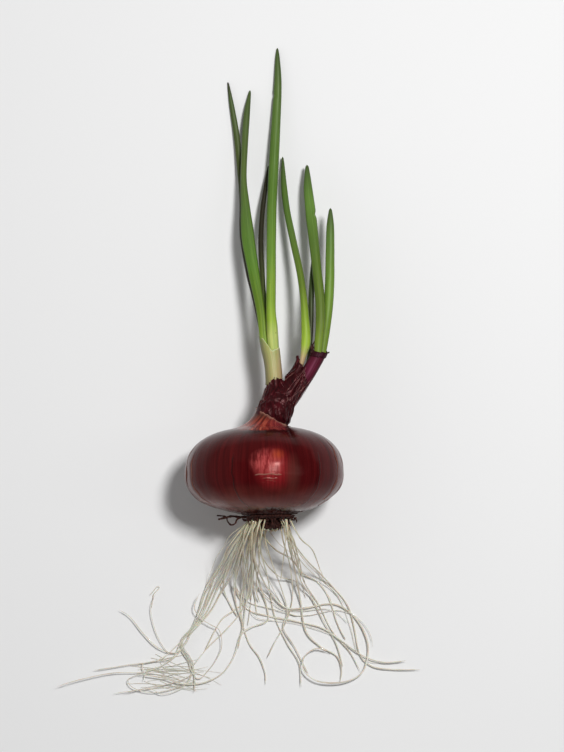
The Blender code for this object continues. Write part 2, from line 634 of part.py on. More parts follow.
def build_leaves(collection):
    mouths = {
        "leaf_centre": STALK_MOUTH,
        "leaf_left_front": STALK_MOUTH,
        "leaf_left_back": STALK_MOUTH,
        "leaf_centre_back": STALK_MOUTH,
        "leaf_right_inner": FORK_MOUTH,
        "leaf_right_tall": SCALE_MOUTH,
        "leaf_right_short": SCALE_MOUTH,
        "leaf_right_back": FORK_MOUTH,
    }
    green = make_material("leaf")
    shaded = make_material("leaf_back")
    for name, stations in LEAVES.items():
        mesh = loft(stations, LEAF_SIDES, LEAF_SPACING)
        trim(mesh, mouths[name], keep_tip_side=True, shift=GAP)
        make_object(name, mesh, collection, shaded if name in BACK_LEAVES else green)


def tube(route, width, sides):
    """A round strand along the route, thinning towards its tip, with closed ends."""
    ring = bpy.data.curves.new("ring", "CURVE")
    ring.dimensions = "2D"
    section = ring.splines.new("POLY")
    section.points.add(sides - 1)
    for side, point in enumerate(section.points):
        turn = 2 * math.pi * side / sides
        point.co = (metres(width / 2) * math.cos(turn), metres(width / 2) * math.sin(turn), 0.0, 1.0)
    section.use_cyclic_u = True
    bevel = bpy.data.objects.new("ring", ring)
    curve = bpy.data.curves.new("strand", "CURVE")
    curve.dimensions = "3D"
    curve.bevel_mode = "OBJECT"
    curve.bevel_object = bevel
    curve.use_fill_caps = True
    line = curve.splines.new("POLY")
    line.points.add(len(route) - 1)
    for index, (point, place) in enumerate(zip(line.points, route)):
        point.co = (metres(place[0]), metres(place[1]), metres(place[2]), 1.0)
        point.radius = 1.0 - ROOT_TAPER * index / (len(route) - 1)
    strand = bpy.data.objects.new("strand", curve)
    bpy.context.scene.collection.objects.link(strand)
    bpy.context.view_layer.update()
    mesh = bpy.data.meshes.new_from_object(strand.evaluated_get(bpy.context.evaluated_depsgraph_get()))
    for helper in (strand, bevel):
        bpy.data.objects.remove(helper)
    return welded(mesh)


def on_plate(radius, turn, height):
    """A point round the root plate, in the table's frame."""
    return axis_frame() @ Vector((radius * math.cos(turn) + BASE_LEAN, radius * math.sin(turn), height))


def build_root_plate(collection):
    plate = placed_on_axis(turned(PLATE_PROFILE, PLATE_STEPS), BASE_LEAN)
    level = AXIS_HEIGHT - PLATE_TOP * math.sin(AXIS_TILT)
    curls = []
    for lift, route in enumerate(DRIED_ROOTS):
        stations = []
        for step, (x, y) in enumerate(route):
            stations.append((x, y, level + DRIED_ROOT_LEVEL + DRIED_ROOT_CURL * lift * math.sin(step)))
        places = spline_through(stations, DRIED_ROOT_SPACING)
        curls.append(tube(places, DRIED_ROOT_WIDTH, DRIED_ROOT_SIDES))
    join_solids("root_plate", [plate, *curls], collection, make_material("root_plate"))


def fanned(route, number):
    """A route moved sideways on its first stretch, if it is one of the left tuft."""
    if route[:3] != LEFT_TUFT[:3]:
        return route
    shift = FAN_REACH * math.sin(FAN_TURN * number)
    shares = FAN_SHARES + (0.0,) * len(route)
    return [(x + shift * share * FAN_SIDE[0], y + shift * share * FAN_SIDE[1])
            for (x, y), share in zip(route, shares)]


def settle(route, start, layer, rng):
    """Gives a route its heights: out of the plate, down to the table, then low over the roots there."""
    aside, along = rng.uniform(-ROOT_SPREAD, ROOT_SPREAD), rng.uniform(-ROOT_SPREAD, ROOT_SPREAD)
    lift = rng.uniform(0.0, ROOT_LIFT)
    spread = [(x + aside, y + along) for x, y in route]
    flat = spline_through([(start.x, start.y)] + spread, ROOT_SPACING)
    lengths = [0.0]
    for a, b in zip(flat, flat[1:]):
        lengths.append(lengths[-1] + math.dist(a, b))
    beyond = max(lengths[-1] - TABLE_REACH, 1.0)
    places = []
    for place, run in zip(flat, lengths):
        sunk = eased(run / TABLE_REACH)
        climb = COIL_RISE * max(0.0, run - TABLE_REACH) / beyond * min(1.0, beyond / LONG_COIL)
        wave = 0.5 * (1 + math.cos(run / LAYER_WAVE + LAYER_PHASE * layer))
        rest = ROOT_WIDTH * ROOT_REST + lift + LAYER_STEP * layer * wave + climb
        places.append((place[0], place[1], start.z + (rest - start.z) * sunk))
    return places


def root_starts(rng):
    """Where each root leaves the pale ring: on the side its route sets off to, high or low by chance."""
    starts = {}
    for name, route in ROOT_ROUTES.items():
        side = max(-1.0, min(1.0, (route[0][0] - BASE_LEAN) / ROOT_FAN))
        turn = math.acos(side) * rng.choice((-1, 1))
        starts[name] = on_plate((CROWN_INNER + CROWN_OUTER) / 2, turn, CROWN_BOTTOM + ROOT_SINK)
    return starts


def build_roots(collection):
    ring_profile = [
        (CROWN_INNER, CROWN_TOP),
        (CROWN_OUTER, CROWN_TOP),
        (CROWN_OUTER + CROWN_BULGE, CROWN_RIM),
        (CROWN_OUTER - CROWN_TAPER, CROWN_BOTTOM),
        (CROWN_INNER, CROWN_BOTTOM),
        (CROWN_INNER, CROWN_TOP),
    ]
    crown = placed_on_axis(turned(ring_profile, PLATE_STEPS), BASE_LEAN)
    rng = random.Random(SEED)
    starts = root_starts(rng)
    strands = []
    for index, (name, route) in enumerate(ROOT_ROUTES.items()):
        places = settle(fanned(route, index), starts[name], index % LAYERS, rng)
        strands.append(tube(places, ROOT_WIDTH, ROOT_SIDES))
    join_solids("roots", [crown, *strands], collection, make_material("root"))


def main():
    clear_scene()
    onion = new_collection("salad_onion")
    build_bulb(onion)
    build_neck(onion)
    build_sheaths(onion)
    build_leaves(onion)
    build_root_plate(onion)
    build_roots(onion)


main()
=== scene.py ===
"""A flat red salad onion on a pale table: glossy bulb, dried neck, hollow green leaves and a beard of roots.

Shapes are in millimetres in the frame of the CAD part: leaves along +Y, roots along -Y, and the table at z = 0.
"""

import math
import random

import bmesh
import bpy
import numpy as np
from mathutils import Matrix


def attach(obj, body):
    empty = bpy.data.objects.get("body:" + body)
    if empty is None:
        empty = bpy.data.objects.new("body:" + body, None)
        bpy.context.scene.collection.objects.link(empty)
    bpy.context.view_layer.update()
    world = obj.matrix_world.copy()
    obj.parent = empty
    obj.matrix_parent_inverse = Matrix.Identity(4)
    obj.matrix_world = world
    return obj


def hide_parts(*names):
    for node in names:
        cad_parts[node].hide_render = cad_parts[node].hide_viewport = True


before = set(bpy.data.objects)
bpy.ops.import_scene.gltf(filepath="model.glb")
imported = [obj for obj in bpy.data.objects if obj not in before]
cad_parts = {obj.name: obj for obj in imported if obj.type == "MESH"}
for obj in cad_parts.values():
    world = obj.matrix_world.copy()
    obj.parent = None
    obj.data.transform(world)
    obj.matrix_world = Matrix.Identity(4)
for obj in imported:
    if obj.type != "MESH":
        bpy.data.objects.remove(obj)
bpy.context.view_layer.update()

METRE = 1000  # millimetres in it
MILLIMETRE = 0.001
TABLE_GAP = 0.02  # the lowest that a piece reaches
ANY_PHASE = (0, 6.28)  # range of a random phase
SEEDS = {"fringe": 7, "fibres": 23, "plate": 5, "roots": 11}

# The bulb, as in the CAD part.
GIRTH = 39.1
BULB_RISE = 24.2
BULB_DROP = 20.0
UPPER_FULLNESS = 2.6
LOWER_FULLNESS = 2.2
AXIS_HEIGHT = 38.0
AXIS_TILT = math.radians(4.0)
AXIS_SWING = math.radians(1.3)
RIB_COUNT = 14
RIB_HEIGHT = 0.09
BASE_RADIUS = 13.8
BASE_LEAN = 2.4
BASE_LEAN_START = -12.0
CONE = [(17.5, 23.0), (14.0, 23.8), (11.9, 24.7), (10.0, 26.4), (9.3, 29.0), (9.2, 32.5), (9.2, 37.0)]
CONE_LEAN = 5.9
LEAN_START = 22.0
LEAN_END = 34.0

# Planes where one piece ends and the next begins: a point on the plane, and its normal towards the tips.
NECK_SEAM = ((-4.2, 33.2, 36.0), (0.5, 0.86, 0.0))
FORK_MOUTH = ((19.6, 51.5, 33.5), (0.97, 0.25, 0.0))
STALK_MOUTH = ((2.5, 66.0, 33.0), (0.52, 0.85, 0.42))
SCALE_MOUTH = ((27.6, 61.8, 31.6), (0.12, 0.98, 0.1))
STALK_FOOT = ((5.0, 42.0, 35.5), (0.2, 0.98, 0.05))


def turns(count):
    """Angles once round, evenly spaced."""
    return np.linspace(0, 2 * np.pi, count, endpoint=False)


def ring_of(turn, run, size):
    """Points round the Z axis, run along it and size away from it."""
    return np.stack([np.cos(turn) * size, np.sin(turn) * size, run], axis=-1)


def smooth(low, high, value):
    """0 below low, 1 above high and a soft step between."""
    share = np.clip((value - low) / (high - low), 0.0, 1.0)
    return share * share * (3 - 2 * share)


def bell(offset, width):
    """1 where the offset is 0, falling off on both sides."""
    return np.exp(-(offset / width) ** 2)


def lattice_noise(points, seed):
    """Smooth noise between -1 and 1 at each of the points."""
    base = np.floor(points).astype(np.int64)
    share = points - base
    share = share * share * (3 - 2 * share)
    total = np.zeros(len(points))
    for corner in range(8):
        offset = np.array([corner & 1, corner >> 1 & 1, corner >> 2 & 1])
        cell = base + offset
        mixed = cell[:, 0] * 73856093 ^ cell[:, 1] * 19349663 ^ cell[:, 2] * 83492791 ^ seed * 2654435761
        mixed = (mixed ^ (mixed >> 13)) * 1274126177 & 0xFFFFFFFF
        mixed = (mixed ^ (mixed >> 16)) & 0xFFFF
        weight = np.prod(np.where(offset == 1, share, 1 - share), axis=1)
        total += weight * (mixed / 32767.5 - 1)
    return total


def noise(points, stretch, octaves=3, seed=0):
    """Layers of noise. stretch is the size of its cells along x, y and z, in the points' own units."""
    scaled = np.asarray(points, float).reshape(-1, 3) / np.array(stretch, float)
    total = np.zeros(len(scaled))
    for octave in range(octaves):
        total += lattice_noise(scaled * 2 ** octave + 17.3 * octave, seed + octave) / 2 ** octave
    return (total / (2 - 0.5 ** (octaves - 1))).reshape(np.shape(points)[:-1])


def beyond(points, plane):
    """How far each point lies past the plane."""
    place, normal = np.array(plane[0]), np.array(plane[1])
    return (points - place) @ (normal / np.linalg.norm(normal))


def spline_through(points, spacing):
    """Rows along a smooth curve through the points, evenly spaced."""
    points = np.array(points, float)
    ends = np.vstack([points[:1], points, points[-1:]])
    fine = []
    t = np.linspace(0, 1, 24, endpoint=False)[:, None]
    for a, b, c, d in zip(ends, ends[1:], ends[2:], ends[3:]):
        fine.append(0.5 * (2 * b + (c - a) * t + (2 * a - 5 * b + 4 * c - d) * t ** 2
                           + (3 * b - a - 3 * c + d) * t ** 3))
    fine = np.vstack(fine + [points[-1:]])
    lengths = np.concatenate([[0], np.cumsum(np.linalg.norm(np.diff(fine[:, :3], axis=0), axis=1))])
    count = max(4, round(lengths[-1] / spacing))
    wanted = np.linspace(0, lengths[-1], count + 1)
    return np.stack([np.interp(wanted, lengths, fine[:, k]) for k in range(fine.shape[1])], axis=1)


def sweep(stations, sides, spacing, relief=None):
    """Oval rings along the stations, as rows of points, with each point's turn and its distance along."""
    places = spline_through(stations, spacing)
    centres = places[:, :3]
    tangents = np.gradient(centres, axis=0)
    tangents /= np.linalg.norm(tangents, axis=1)[:, None]
    across = np.cross(tangents, (0, 0, 1.0))
    across /= np.linalg.norm(across, axis=1)[:, None]
    outward = np.cross(across, tangents)
    steps = np.linalg.norm(np.diff(centres, axis=0), axis=1)
    run = np.concatenate([[0], np.cumsum(steps)])
    turn, run = np.meshgrid(turns(sides), run)
    swell = 1 + (relief(turn, run) if relief else 0)
    wide = np.cos(turn) * places[:, 3:4] / 2 * swell
    deep = np.sin(turn) * places[:, 4:5] / 2 * swell
    points = centres[:, None] + across[:, None] * wide[..., None] + outward[:, None] * deep[..., None]
    return points, turn, run


def grid_faces(index, closed=True, capped=True):
    """Faces between rows of point numbers. closed joins each row's ends, and capped fills the end rows."""
    after = np.roll(index, -1, axis=1) if closed else index[:, 1:]
    here = index if closed else index[:, :-1]
    quads = np.stack([here[:-1], after[:-1], after[1:], here[1:]], axis=-1).reshape(-1, 4).tolist()
    return quads + ([index[0].tolist(), index[-1].tolist()] if capped else [])


def linked(name, data):
    """A new object in the scene."""
    obj = bpy.data.objects.new(name, data)
    bpy.context.scene.collection.objects.link(obj)
    return obj


def mesh_object(name, points, faces, values):
    """A smooth object that faces outwards. Its points keep the values by name, for the materials."""
    points = np.array(points, float).reshape(-1, 3)
    points[:, 2] = np.maximum(points[:, 2], TABLE_GAP)
    mesh = bpy.data.meshes.new(name)
    mesh.from_pydata((points * MILLIMETRE).tolist(), [], faces)
    for key, value in values.items():
        kind, field = ("FLOAT_VECTOR", "vector") if key == "flow" else ("FLOAT", "value")
        mesh.attributes.new(key, kind, "POINT").data.foreach_set(field, np.asarray(value, float).reshape(-1))
    shape = bmesh.new()
    shape.from_mesh(mesh)
    bmesh.ops.recalc_face_normals(shape, faces=shape.faces)
    shape.to_mesh(mesh)
    shape.free()
    mesh.shade_smooth()
    return linked(name, mesh)


def grid_object(name, points, values=None, closed=True, capped=True):
    """An object from rows of points."""
    rows, sides = points.shape[:2]
    index = np.arange(rows * sides).reshape(rows, sides)
    return mesh_object(name, points, grid_faces(index, closed, capped), values or {})


def merged(name, grids, values=None):
    """One object from many closed grids of points, with a list of values for each."""
    faces, start = [], 0
    for grid in grids:
        rows, sides = grid.shape[:2]
        faces += grid_faces(np.arange(rows * sides).reshape(rows, sides) + start)
        start += rows * sides
    joined = {key: np.concatenate([np.asarray(value, float).reshape(-1) for value in each])
              for key, each in (values or {}).items()}
    return mesh_object(name, np.vstack([grid.reshape(-1, 3) for grid in grids]), faces, joined)


def doubled(sheet, back):
    """Rows round a sheet of points and its back, which is set off by that much."""
    return np.concatenate([sheet, (sheet + back)[:, ::-1]], axis=1)


def join(name, objects):
    """One object from several, each keeping its points' attributes."""
    for obj in bpy.context.selected_objects:
        obj.select_set(False)
    for obj in objects:
        obj.select_set(True)
    bpy.context.view_layer.objects.active = objects[0]
    bpy.ops.object.join()
    objects[0].name = name
    return objects[0]


def place(obj, material, slot, *nodes):
    """Gives a piece its material, hides the CAD nodes that it stands for and puts it under the root body; slot
    is not used.
    """
    obj.data.materials.clear()
    obj.data.materials.append(material)
    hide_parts(*nodes)
    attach(obj, "root")


class Nodes:
    """A few kinds of node, in one node tree."""

    def __init__(self, tree):
        self.tree = tree

    def node(self, kind, inputs=None, **settings):
        node = self.tree.nodes.new(kind)
        for key, value in settings.items():
            setattr(node, key, value)
        for key, value in (inputs or {}).items():
            if isinstance(value, bpy.types.NodeSocket):
                self.tree.links.new(value, node.inputs[key])
            else:
                node.inputs[key].default_value = value
        return node

    def flow(self):
        """Places that run with the piece, round it and along it."""
        return self.node("ShaderNodeAttribute", attribute_name="flow").outputs["Vector"]

    def value(self, name):
        """The value of that name that the piece's points keep."""
        return self.node("ShaderNodeAttribute", attribute_name=name).outputs["Fac"]

    def position(self):
        """The point's place in millimetres."""
        place = self.node("ShaderNodeTexCoord").outputs["Object"]
        return self.stretched(place, (METRE, METRE, METRE))

    def part(self, vector, axis):
        return self.node("ShaderNodeSeparateXYZ", {0: vector}).outputs[axis]

    def stretched(self, vector, factors):
        return self.node("ShaderNodeVectorMath", {0: vector, 1: factors}, operation="MULTIPLY").outputs[0]

    def noise(self, vector, factors, detail=3.0, roughness=0.5, distortion=0.0):
        """Noise with cells of 1 over each factor, in millimetres."""
        return self.node("ShaderNodeTexNoise", {
            "Vector": self.stretched(vector, factors), "Scale": 1.0, "Detail": detail, "Roughness": roughness,
            "Distortion": distortion}).outputs["Fac"]

    def ramp(self, value, stops):
        """Colours or greys between the stops, each a place from 0 to 1 and a value."""
        node = self.node("ShaderNodeValToRGB", {"Fac": value})
        elements = node.color_ramp.elements
        while len(elements) < len(stops):
            elements.new(0.5)
        for element, (spot, shade) in zip(elements, stops):
            element.position = spot
            element.color = (*shade, 1.0) if isinstance(shade, tuple) else (shade, shade, shade, 1.0)
        return node.outputs["Color"]

    def mix(self, share, a, b, blend="MIX"):
        node = self.node("ShaderNodeMix", data_type="RGBA", blend_type=blend)
        for socket, value in ((node.inputs[0], share), (node.inputs[6], a), (node.inputs[7], b)):
            if isinstance(value, bpy.types.NodeSocket):
                self.tree.links.new(value, socket)
            elif isinstance(value, tuple):
                socket.default_value = (*value, 1.0)
            else:
                socket.default_value = value
        return node.outputs[2]

    def fade(self, value, stops, a, b):
        """From a to b by a ramp over the value."""
        return self.mix(self.ramp(value, stops), a, b)

    def oval(self, place, area, softness):
        """1 inside an oval on the plan and 0 outside. area is its middle and its half sizes."""
        x, y, wide, tall = area
        moved = self.node("ShaderNodeVectorMath", {0: place, 1: (-x, -y, 0.0)}, operation="ADD").outputs[0]
        flat = self.stretched(moved, (1 / wide, 1 / tall, 0.0))
        reach = self.node("ShaderNodeVectorMath", {0: flat}, operation="LENGTH").outputs["Value"]
        share = self.line(reach, -softness, softness)
        above = self.math("GREATER_THAN", self.part(place, 2), AXIS_HEIGHT)
        return self.times(self.math("SMOOTH_MIN", self.math("MAXIMUM", share, 0.0), 1.0, 0.3), above)

    def math(self, operation, a, b=0.0, c=0.0):
        return self.node("ShaderNodeMath", {0: a, 1: b, 2: c}, operation=operation).outputs[0]

    def times(self, a, b):
        return self.math("MULTIPLY", a, b)

    def line(self, value, slope, start):
        return self.math("MULTIPLY_ADD", value, slope, start)


class Paint(Nodes):
    """A material. The settings are the shader's own, with spaces as underscores."""

    def __init__(self, name, roughness=0.5, **settings):
        self.material = bpy.data.materials.new(name)
        self.material.use_nodes = True
        super().__init__(self.material.node_tree)
        self.shader = self.tree.nodes["Principled BSDF"]
        self.shader.inputs["Roughness"].default_value = roughness
        for key, value in settings.items():
            self.shader.inputs[key.replace("_", " ")].default_value = value

    def colour(self, socket):
        self.tree.links.new(socket, self.shader.inputs["Base Color"])

    def roughness(self, socket):
        self.tree.links.new(socket, self.shader.inputs["Roughness"])

    def bump(self, height, distance, strength=1.0):
        """Relief of that many millimetres in the shading alone."""
        sizes = {"Height": height, "Distance": distance * MILLIMETRE, "Strength": strength}
        bump = self.node("ShaderNodeBump", sizes)
        self.tree.links.new(bump.outputs[0], self.shader.inputs["Normal"])


# Bulb

SKIN_TURNS = 420
SKIN_ROWS = 165
SKIN_SIZE = 39  # radius at which patterns run over the skin
CLOSE_ROWS = (-4.0, 3.0)  # heights between which the rows are closer
CONE_START = (22.4, 24.1)  # heights over which the cone begins
TORN_ABOVE = 23.4
TUCK = -0.4  # how far the edges of a skin sink in
FAR_SHORT = -9.0  # for points that no edge is near
SHOULDER_FOLD = ((12.0, 24.0), (16.5, 15.5))
# a painted reflection of the strip lamp: a paler, greyer patch right of the middle
PAINTED_REFLECTION = (14.3, 1.5, 4.6, 11.5)  # middle in x and y, and half width and height
# painted light: brighter red where the lamp lights the skin round the highlight
PAINTED_GLOW = (5.0, 4.0, 11.0, 12.0)
# a painted highlight: pale pink and streaky, where the key lamp's reflection falls
PAINTED_HIGHLIGHT = (1.6, 7.2, 9.8, 7.6)
EMBER = (6.6, 11.0, 4.2, 3.4)
CREASES = [(-3.8, 8.4, 1.5, 0.36), (-0.4, 6.8, -0.6, 0.17), (1.2, 6.0, -1.7, 0.14), (-1.6, 3.2, -2.7, 0.09)]


def to_table(points):
    """From the bulb's own frame, with its axis along Z, to the table's frame."""
    turn = -math.pi / 2 - AXIS_TILT
    x, y, z = points[..., 0], points[..., 1], points[..., 2]
    y, z = y * math.cos(turn) - z * math.sin(turn), y * math.sin(turn) + z * math.cos(turn)
    x, y = (x * math.cos(AXIS_SWING) - y * math.sin(AXIS_SWING),
            x * math.sin(AXIS_SWING) + y * math.cos(AXIS_SWING))
    return np.stack([x, y, z + AXIS_HEIGHT], axis=-1)


def bulb_profile():
    """Radius and height from the cone's top to the base, close together."""
    cone = spline_through([(r, h, 0.0) for r, h in reversed(CONE)], 0.5)[:, :2]
    first = math.acos((CONE[0][0] / GIRTH) ** (UPPER_FULLNESS / 2))
    upper = [(GIRTH * math.cos(t) ** (2 / UPPER_FULLNESS), BULB_RISE * math.sin(t) ** (2 / UPPER_FULLNESS))
             for t in np.linspace(first, 0, 80)[1:]]
    last = math.acos((BASE_RADIUS / GIRTH) ** (LOWER_FULLNESS / 2))
    lower = [(GIRTH * math.cos(t) ** (2 / LOWER_FULLNESS), -BULB_DROP * math.sin(t) ** (2 / LOWER_FULLNESS))
             for t in np.linspace(0, last, 80)[1:]]
    base = [(BASE_RADIUS - 1.0, -BULB_DROP), (4.0, -BULB_DROP + 0.2)]
    return np.vstack([cone, upper, lower, base])


def bulb_rows(count):
    """Radius and height of evenly spaced rows."""
    profile = bulb_profile()
    steps = np.linalg.norm(np.diff(profile, axis=0), axis=1)
    run = np.concatenate([[0], np.cumsum(steps)])
    wanted = np.linspace(0, run[-1], count)
    return np.interp(wanted, run, profile[:, 0]), np.interp(wanted, run, profile[:, 1])


def closer_rows(radius, height, low, high, step):
    """The rows of a profile, set closer between two heights."""
    above, below = height > high, height < low
    closer = np.arange(high, low, -step)
    middle = np.interp(-closer, -height, radius)
    return (np.concatenate([radius[above], middle, radius[below]]),
            np.concatenate([height[above], closer, height[below]]))


def bulb_surface(turn, radius, height, lift=0.0):
    """Points of the bulb's skin in the table's frame, with its ribs, veins and unevenness."""
    fullness = np.clip(radius / GIRTH, 0, 1) * smooth(BULB_DROP, BULB_DROP - 1.5, np.abs(np.minimum(height, 0)))
    swell = RIB_HEIGHT * np.cos(RIB_COUNT * turn + 0.6 * np.sin(2 * turn))
    swell = swell + 0.35 * np.cos(2 * turn + 0.8) + 0.25 * np.cos(3 * turn - 1.1)
    around = ring_of(turn, height, SKIN_SIZE)
    veins = noise(around, (1.5, 1.5, 40.0), 2, 5) * 0.038
    puckers = noise(around, (9.0, 9.0, 11.0), 2, 9) * 0.1
    grown = radius + (swell + veins + puckers) * fullness + lift
    lean = CONE_LEAN * smooth(LEAN_START, LEAN_END, height)
    lean = lean + BASE_LEAN * smooth(BASE_LEAN_START, -BULB_DROP, height)
    return to_table(np.stack([grown * np.cos(turn) + lean, grown * np.sin(turn), height + 0 * turn], axis=-1))


def near_line(points, start, end):
    """Each point's distance from a line on the plan, and how far along the line it lies, from 0 to 1."""
    start, along = np.array(start), np.array(end) - np.array(start)
    offset = points[..., :2] - start
    share = np.clip(offset @ along / (along @ along), 0, 1)
    return np.linalg.norm(offset - share[..., None] * along, axis=-1), share


def crease_lift(points):
    """Small raised wrinkles where the light falls on the bulb, and the fold beside the neck."""
    far, share = near_line(points, *SHOULDER_FOLD)
    x, upper = points[..., 0], points[..., 2] > AXIS_HEIGHT
    lift = -0.5 * bell(far, 0.9) * (1 - share) * upper
    for x0, x1, y0, tall in CREASES:
        middle = y0 - 0.035 * (x - 2.5) ** 2 * 0.3 + 0.15 * np.sin((x - x0) * 1.1)
        ends = smooth(x0 - 1.5, x0 + 1.0, x) * smooth(x1 + 1.5, x1 - 1.0, x)
        lift += tall * ends * bell(points[..., 1] - middle, 0.32) * upper
    return lift


def build_bulb(material):
    radius, height = closer_rows(*bulb_rows(SKIN_ROWS), *CLOSE_ROWS, 0.15)
    turn, radius = np.meshgrid(turns(SKIN_TURNS), radius)
    height = height[:, None] + 0 * turn
    points = bulb_surface(turn, radius, height)
    ragged = noise(points, (2.2, 2.2, 2.2), 3, 21)
    past = np.where(height > TORN_ABOVE, beyond(points, NECK_SEAM) - 0.5 + ragged * 1.1, FAR_SHORT)
    shrink = 1 - 0.35 * smooth(0.0, 0.9, past) - 0.2 * smooth(0.9, 5.0, past)
    points = bulb_surface(turn, radius * shrink, height, crease_lift(points))
    upper = points[..., 2] > AXIS_HEIGHT
    front = smooth(15.0, 9.5, np.abs(points[..., 0] - 1.0)) * upper
    shoulder = 20.8 + 0.5 * noise(points, (2.5, 2.5, 2.5), 2, 27)
    cone = np.maximum(smooth(*CONE_START, height), smooth(shoulder, shoulder + 1.2, height) * front)
    rim = bell(past + 0.1, 0.45) * smooth(*CONE_START, height)
    far, share = near_line(points, *SHOULDER_FOLD)
    # painted shade in the fold beside the neck and along the line under the cone's edge
    painted_shade = bell(far, 1.15) * (1 - 0.7 * share) * upper
    painted_shade = np.maximum(painted_shade, 0.75 * bell(height - shoulder + 0.5, 0.55) * front)
    values = {"flow": ring_of(turn, height, SKIN_SIZE), "cone": cone, "rim": rim, "painted_shade": painted_shade}
    place(grid_object("onion_bulb", points, values), material, "bulb_skin", "bulb")


def skin_patch(name, material, first, last, top, bottom, lift, ragged, seed, fade, dark=0.0):
    """A sheet of papery skin over part of the bulb. first and last are degrees to the right of the top line.

    top and bottom are heights along the axis. The sheet stands off by lift and sinks in above top - fade.
    """
    radius, height = closer_rows(*bulb_rows(240), *CLOSE_ROWS, 0.15 if dark == 1.0 else 0.4)
    keep = (height < top) & (height > bottom)
    radius, height = radius[keep], height[keep]
    share = np.linspace(0, 1, max(30, int((last - first) * 1.8)))
    side_noise = np.array([0 * height, height, 0 * height]).T
    left = first + ragged * noise(side_noise, (1, 4.0, 1), 3, seed)
    right = last + ragged * noise(side_noise, (1, 5.0, 1), 3, seed + 1)
    angle = left[:, None] + (right - left)[:, None] * share[None, :]
    around = np.stack([angle, 0 * angle, 0 * angle], axis=-1)
    torn = 1.2 * ragged * (0.5 + noise(around, (7.0, 1, 1), 3, seed + 3))
    low = smooth(bottom + 5.0, bottom, height)[:, None]
    down = np.maximum(height[:, None], bottom + np.maximum(torn, 0.0) * low)
    radius = np.interp(-down, -height, radius)
    height = down
    turn = np.radians(270 + angle)
    wave = noise(np.stack([angle, height * 2, 0 * angle], axis=-1), (14, 14, 1), 2, seed + 2)
    rise = lift * (0.7 + 0.6 * wave) * smooth(top, top - fade, height)
    rise = np.where((share == 0) | (share == 1), TUCK, rise)
    rise = np.maximum(rise, TUCK)
    creases = crease_lift(bulb_surface(turn, radius, height, rise))
    points = bulb_surface(turn, radius, height, rise + creases)
    edge = np.minimum(np.abs(angle - left[:, None]), np.abs(angle - right[:, None])) * 0.68
    edge = np.minimum(edge, height - bottom - np.maximum(torn, 0.0))
    rim = bell(edge, 0.35) * (1 - dark) * smooth(top, top - fade, height)
    # the creases' raised tops get a painted highlight in the light rim colour
    rim = np.maximum(rim, 0.6 * smooth(0.05, 0.26, creases))
    # painted shadow along the edges of the dark skins, where they stand off the bulb
    painted_shade = bell(edge, 1.0) * dark * smooth(top, top - 0.6 * fade, height)
    paper = smooth(top, top - fade, height) * smooth(0.0, 3.0, edge)
    values = {"flow": ring_of(turn, height, SKIN_SIZE), "rim": rim, "cone": 0 * turn, "painted_shade": painted_shade,
              "paper": paper}
    place(grid_object(name, points, values, closed=False, capped=False), material, "bulb_skin", "bulb")


# Each skin's first and last degree, top, bottom, lift, raggedness and seed.
OUTER_SKIN = (-24.0, 46.0, 10.0, -19.6, 0.5, 1.3, 71)
SIDE_SKINS = {
    "left": (-86.0, -66.0, 13.0, -15.0, 0.35, 2.5, 81), "left_back": (-128.0, -80.0, 17.0, -18.0, 0.5, 3.0, 85),
    "right": (68.0, 88.0, 19.0, -14.0, 0.35, 2.5, 91), "right_back": (84.0, 132.0, 17.0, -18.0, 0.5, 3.0, 95),
}
# First and last degree, top and bottom.
BASE_SKINS = [(-70, -38, -15.5, -19.9), (-44, -14, -16.5, -20.0), (-18, 12, -15.0, -20.0),
              (6, 34, -17.2, -20.0), (28, 62, -15.8, -20.0), (58, 100, -16.6, -20.0),
              (100, 160, -16.0, -20.0), (160, 225, -16.6, -20.0), (225, 292, -15.8, -20.0)]


def build_skins(material, papery):
    """The outer skin with its edge left of the middle, dry sheets at the sides, torn skins round the base."""
    skin_patch("onion_outer_skin", material, *OUTER_SKIN, fade=6.0, dark=1.0)
    for side, shape in SIDE_SKINS.items():
        skin_patch(f"onion_{side}_skin", papery, *shape, fade=8.0)
    for index, shape in enumerate(BASE_SKINS):
        skin_patch(f"onion_base_skin_{index}", material, *shape, 0.45, 4.0, 111 + 7 * index, fade=2.5, dark=0.6)


FRINGE_COUNT = 54


def build_fringe(material):
    """Dark torn ends of the outer skins, hanging down over the root plate."""
    rng = random.Random(SEEDS["fringe"])
    radii, heights = bulb_rows(300)
    sheets = []
    for number in range(FRINGE_COUNT):
        middle = 360 * number / FRINGE_COUNT + rng.uniform(-4, 4)
        half = rng.uniform(3.5, 9.0)
        reach = rng.uniform(1.0, 3.2) * (1.5 if number % 5 == 0 else 1.0)
        share = np.linspace(0, 1, 14)[:, None]
        side = np.linspace(-1, 1, 11)[None, :]
        start = rng.uniform(18.3, 19.5)
        height = -start - (20.2 - start + reach) * share + 0.6 * reach * share * np.abs(side) ** 1.3
        angle = middle + half * side * (1 - 0.55 * share) + rng.uniform(-3, 3) * share ** 2
        radius = np.interp(-np.maximum(height, -BULB_DROP), -heights, radii)
        radius = radius - 0.12 * np.maximum(-BULB_DROP - height, 0)
        lift = 0.25 + 0.5 * share + rng.uniform(-0.5, 0.9) * share ** 3 + 0.25 * np.sin(side * 4 + number)
        lift = np.where(share == 0, -0.3, lift)
        sheet = bulb_surface(np.radians(angle), radius, height, lift)
        sheets.append(doubled(sheet, [0, -0.12, 0]))
    place(merged("onion_base_fringe", sheets), material, "bulb_skin", "bulb")


def fringe_paint():
    paint = Paint("torn_skin", 0.6, Specular_IOR_Level=0.3)
    fibres = paint.noise(paint.position(), (1.6, 0.5, 1.6), 4, 0.65)
    paint.colour(paint.ramp(fibres, [(0.35, (0.008, 0.002, 0.0018)), (0.5, (0.03, 0.0065, 0.0048)),
                                     (0.65, (0.085, 0.022, 0.015)), (0.8, (0.18, 0.08, 0.048))]))
    paint.bump(fibres, 0.15, 0.6)
    return paint.material


